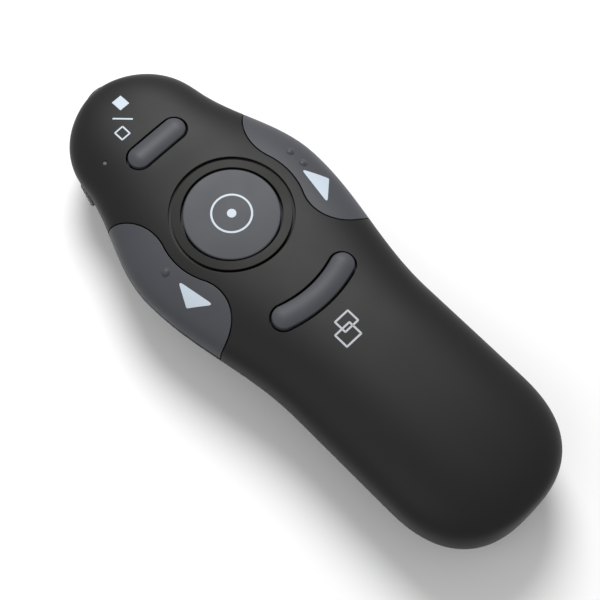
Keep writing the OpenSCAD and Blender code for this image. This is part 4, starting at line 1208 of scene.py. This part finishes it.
def cellPiece(x, start, facing):
    r, total, rim = bay["cellRadius"], cell["length"], cell["rim"]
    end = total - cell["nub"]
    jacket = lathe("jacket", [(rim, -0.01), (r - 0.45, 0.0), (r - 0.12, 0.12), (r, 0.5),
                              (r, end - 0.5), (r - 0.12, end - 0.12), (r - 0.45, end),
                              (rim, end + 0.01), (rim, end - 0.2), (rim, 0.2)], axis="Y")
    metal = lathe("ends", [(0, 0.06), (3.7, 0.06), (4.12, 0.14), (4.12, end - 0.15),
                           (3.8, end - 0.08), (2.3, end - 0.06), (1.9, end + 0.1),
                           (1.85, total - 0.12), (1.7, total), (0, total)], axis="Y")
    jacket.data.materials.append(paint["cellJacket"])
    metal.data.materials.append(paint["sheetSteel"])
    return inBay(together("cell", [jacket, metal]), x, start, facing)


def receiverCase():
    d, r = dock, dock["caseRound"]
    w, h = d["caseWide"] / 2, d["caseHigh"] / 2
    corners = []
    for i, (x, z) in enumerate(((w - r, h - r), (r - w, h - r), (r - w, r - h), (w - r, r - h))):
        corners += arcLine((x, z), r, 90 * i, 90 * i + 90, 10)
    plugY = tailY + d["caseLong"]
    rings = [[(x, y, z + d["z"]) for x, z in corners] for y in (tailY - 1, plugY)]
    made = carve(loft("case", rings), halfBody(0.1, -1), operation="INTERSECT")
    for x in (-w - 0.2, w + 0.2):
        carve(made, row(rod((0, 0, 0), d["notch"], 0, split, 24), d["notches"],
                        (x, plugY - 1.6, 0), (0, -d["notchStep"], 0)))
    return made


dress(powerSlider(), "powerSlider", "sliderGrey", "power", "slider_plastic", "power_slider")
screws = grow("screws", pairsTree, {
    "Front X": shells["frontPost"][0] * mm, "Front Y": shells["frontPost"][1] * mm,
    "Rear X": shells["rearPost"][0] * mm, "Rear Y": shells["rearPost"][1] * mm,
    "Turn": 0.7}, seed=screwShape())
dress(screws, "caseScrews", "blackScrew", "shell", "screw_steel", "screws")
rearSheet, frontSheet = bay["rear"] + contact["thick"], bay["front"] - contact["thick"]
strap = block((-bay["cellX"], bay["cellX"]), (rearSheet - 0.39, rearSheet - 0.01),
              (bay["cellZ"] + 1.5, bay["cellZ"] + 4.15))
bridge = together("bridge", [contactSheet(-bay["cellX"], rearSheet, 1, True),
                             contactSheet(bay["cellX"], rearSheet, 1, False), strap])
spring, plus = (contactSheet(side * bay["cellX"], frontSheet, -1, side > 0) for side in (1, -1))
for piece, name, node in ((bridge, "bridgeContact", "bridge_contact"),
                          (spring, "springContact", "spring_contact"),
                          (plus, "plusContact", "plus_contact")):
    dress(piece, name, "nickel", "shell", "contact_nickel", node)
dress(cellPiece(-bay["cellX"], rearSheet + 3, 1), "cellLeft", None, "shell", "cell_jacket",
      "cell_left")
dress(cellPiece(bay["cellX"], frontSheet - 3, -1), "cellRight", None, "shell", "cell_jacket",
      "cell_right")
dress(receiverCase(), "receiverCase", "plainBlack", "receiver", "black_plastic", "receiver_case")
print("small pieces made")

# the solids that stay get their finish here
kept = dict(
    bareMoulding=("laser_stem", "blank_stem", "window_stem", "prev_stem", "next_stem",
                  "slide_lever"),
    sheetSteel=("slide_switch", "crystal", "receiver_plug"),
    plainBlack=("switch_cases", "radio_chip", "aperture_ring", "receiver_insert"),
    solderMask=("board", "laser_board"), lampPlastic=("status_led", "light_pipe"),
    turnedBrass=("laser_barrel", "laser_diode"), clearLens=("laser_lens",),
)
for finish, nodes in kept.items():
    for node in nodes:
        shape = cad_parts[node]
        shape.data.materials.clear()
        shape.data.materials.append(paint[finish])


# Floor, light and camera

stage = dict(
    camera=(-66.81, -66.15, 268.48), look=(0.24303, 0.24175, -0.93941),
    right=(0.71593, -0.69816, 0.00555), lens=80.45, floor=(0.86, 0.86, 0.86), floorHalf=3.0,
    floorDrop=0.03, world=0.5,
)
lamps = dict(
    headLight=dict(place=(0.16, 0.20, 0.36), target=(0.0, 0.03, 0.015), size=0.22, watts=1.85),
    fillLight=dict(place=(-0.45, 0.05, 0.45), target=(0.0, 0.0, 0.015), size=0.6, watts=0.8),
)


def showsBackground(tree):
    # 1 for rays that look at the background: from the camera, in gloss and through glass
    rays = tree.nodes.new("ShaderNodeLightPath")
    total = Flow(tree, rays.outputs["Is Camera Ray"])
    for label in ("Is Glossy Ray", "Is Transmission Ray"):
        total = total.step("MAXIMUM", Flow(tree, rays.outputs[label]))
    return total


def makeWorld():
    world = bpy.data.worlds.new("studio")
    bpy.context.scene.world = world
    world.use_nodes = True
    tree = world.node_tree
    back = tree.nodes["Background"]
    mask = showsBackground(tree)
    strength = mask.choose(1.0, stage["world"])
    wire(tree, (strength, back.inputs["Strength"]))
    back.inputs["Color"].default_value = (1, 1, 1, 1)


def makeFloor():
    half, low = stage["floorHalf"], -stage["floorDrop"] * mm
    mesh = bpy.data.meshes.new("floor")
    mesh.from_pydata([(-half, -half, low), (half, -half, low), (half, half, low),
                      (-half, half, low)], [], [(0, 1, 2, 3)])
    floor = link("floor", mesh)
    made = bpy.data.materials.new("floorPaint")
    made.use_nodes = True
    shader = made.node_tree.nodes["Principled BSDF"]
    tree = made.node_tree
    noise = tree.nodes.new("ShaderNodeTexNoise")
    noise.inputs["Scale"].default_value = 3.0
    place = tree.nodes.new("ShaderNodeTexCoord").outputs["Object"]
    tone = blendColours(tree, noise.outputs["Fac"], stage["floor"],
                        tuple(c * 1.01 for c in stage["floor"]))
    wire(tree, (place, noise.inputs["Vector"]), (tone, shader.inputs["Base Color"]))
    shader.inputs["Roughness"].default_value = 0.9
    shader.inputs["Specular IOR Level"].default_value = 0.1
    mesh.materials.append(made)


def lamp(name, place, target, size, watts):
    data = bpy.data.lights.new(name, "AREA")
    data.shape, data.size, data.energy = "DISK", size, watts
    made = bpy.data.objects.new(name, data)
    bpy.context.scene.collection.objects.link(made)
    made.location = place
    made.rotation_euler = (Vector(target) - Vector(place)).to_track_quat("-Z", "Y").to_euler()


def makeCamera():
    data = bpy.data.cameras.new("camera")
    data.lens, data.sensor_width, data.sensor_fit = stage["lens"], 36.0, "HORIZONTAL"
    data.clip_start, data.clip_end = 0.01, 10.0
    made = bpy.data.objects.new("camera", data)
    bpy.context.scene.collection.objects.link(made)
    look = Vector(stage["look"]).normalized()
    right = Vector(stage["right"]).normalized()
    up = right.cross(look).normalized()
    turn = Matrix((right, up, -look)).transposed()
    made.matrix_world = Matrix.Translation(Vector(stage["camera"]) * mm) @ turn.to_4x4()
    bpy.context.scene.camera = made


makeWorld()
makeFloor()
for name, values in lamps.items():
    lamp(name, **values)
makeCamera()
bpy.context.scene.view_settings.view_transform = "Standard"
print("stage set")
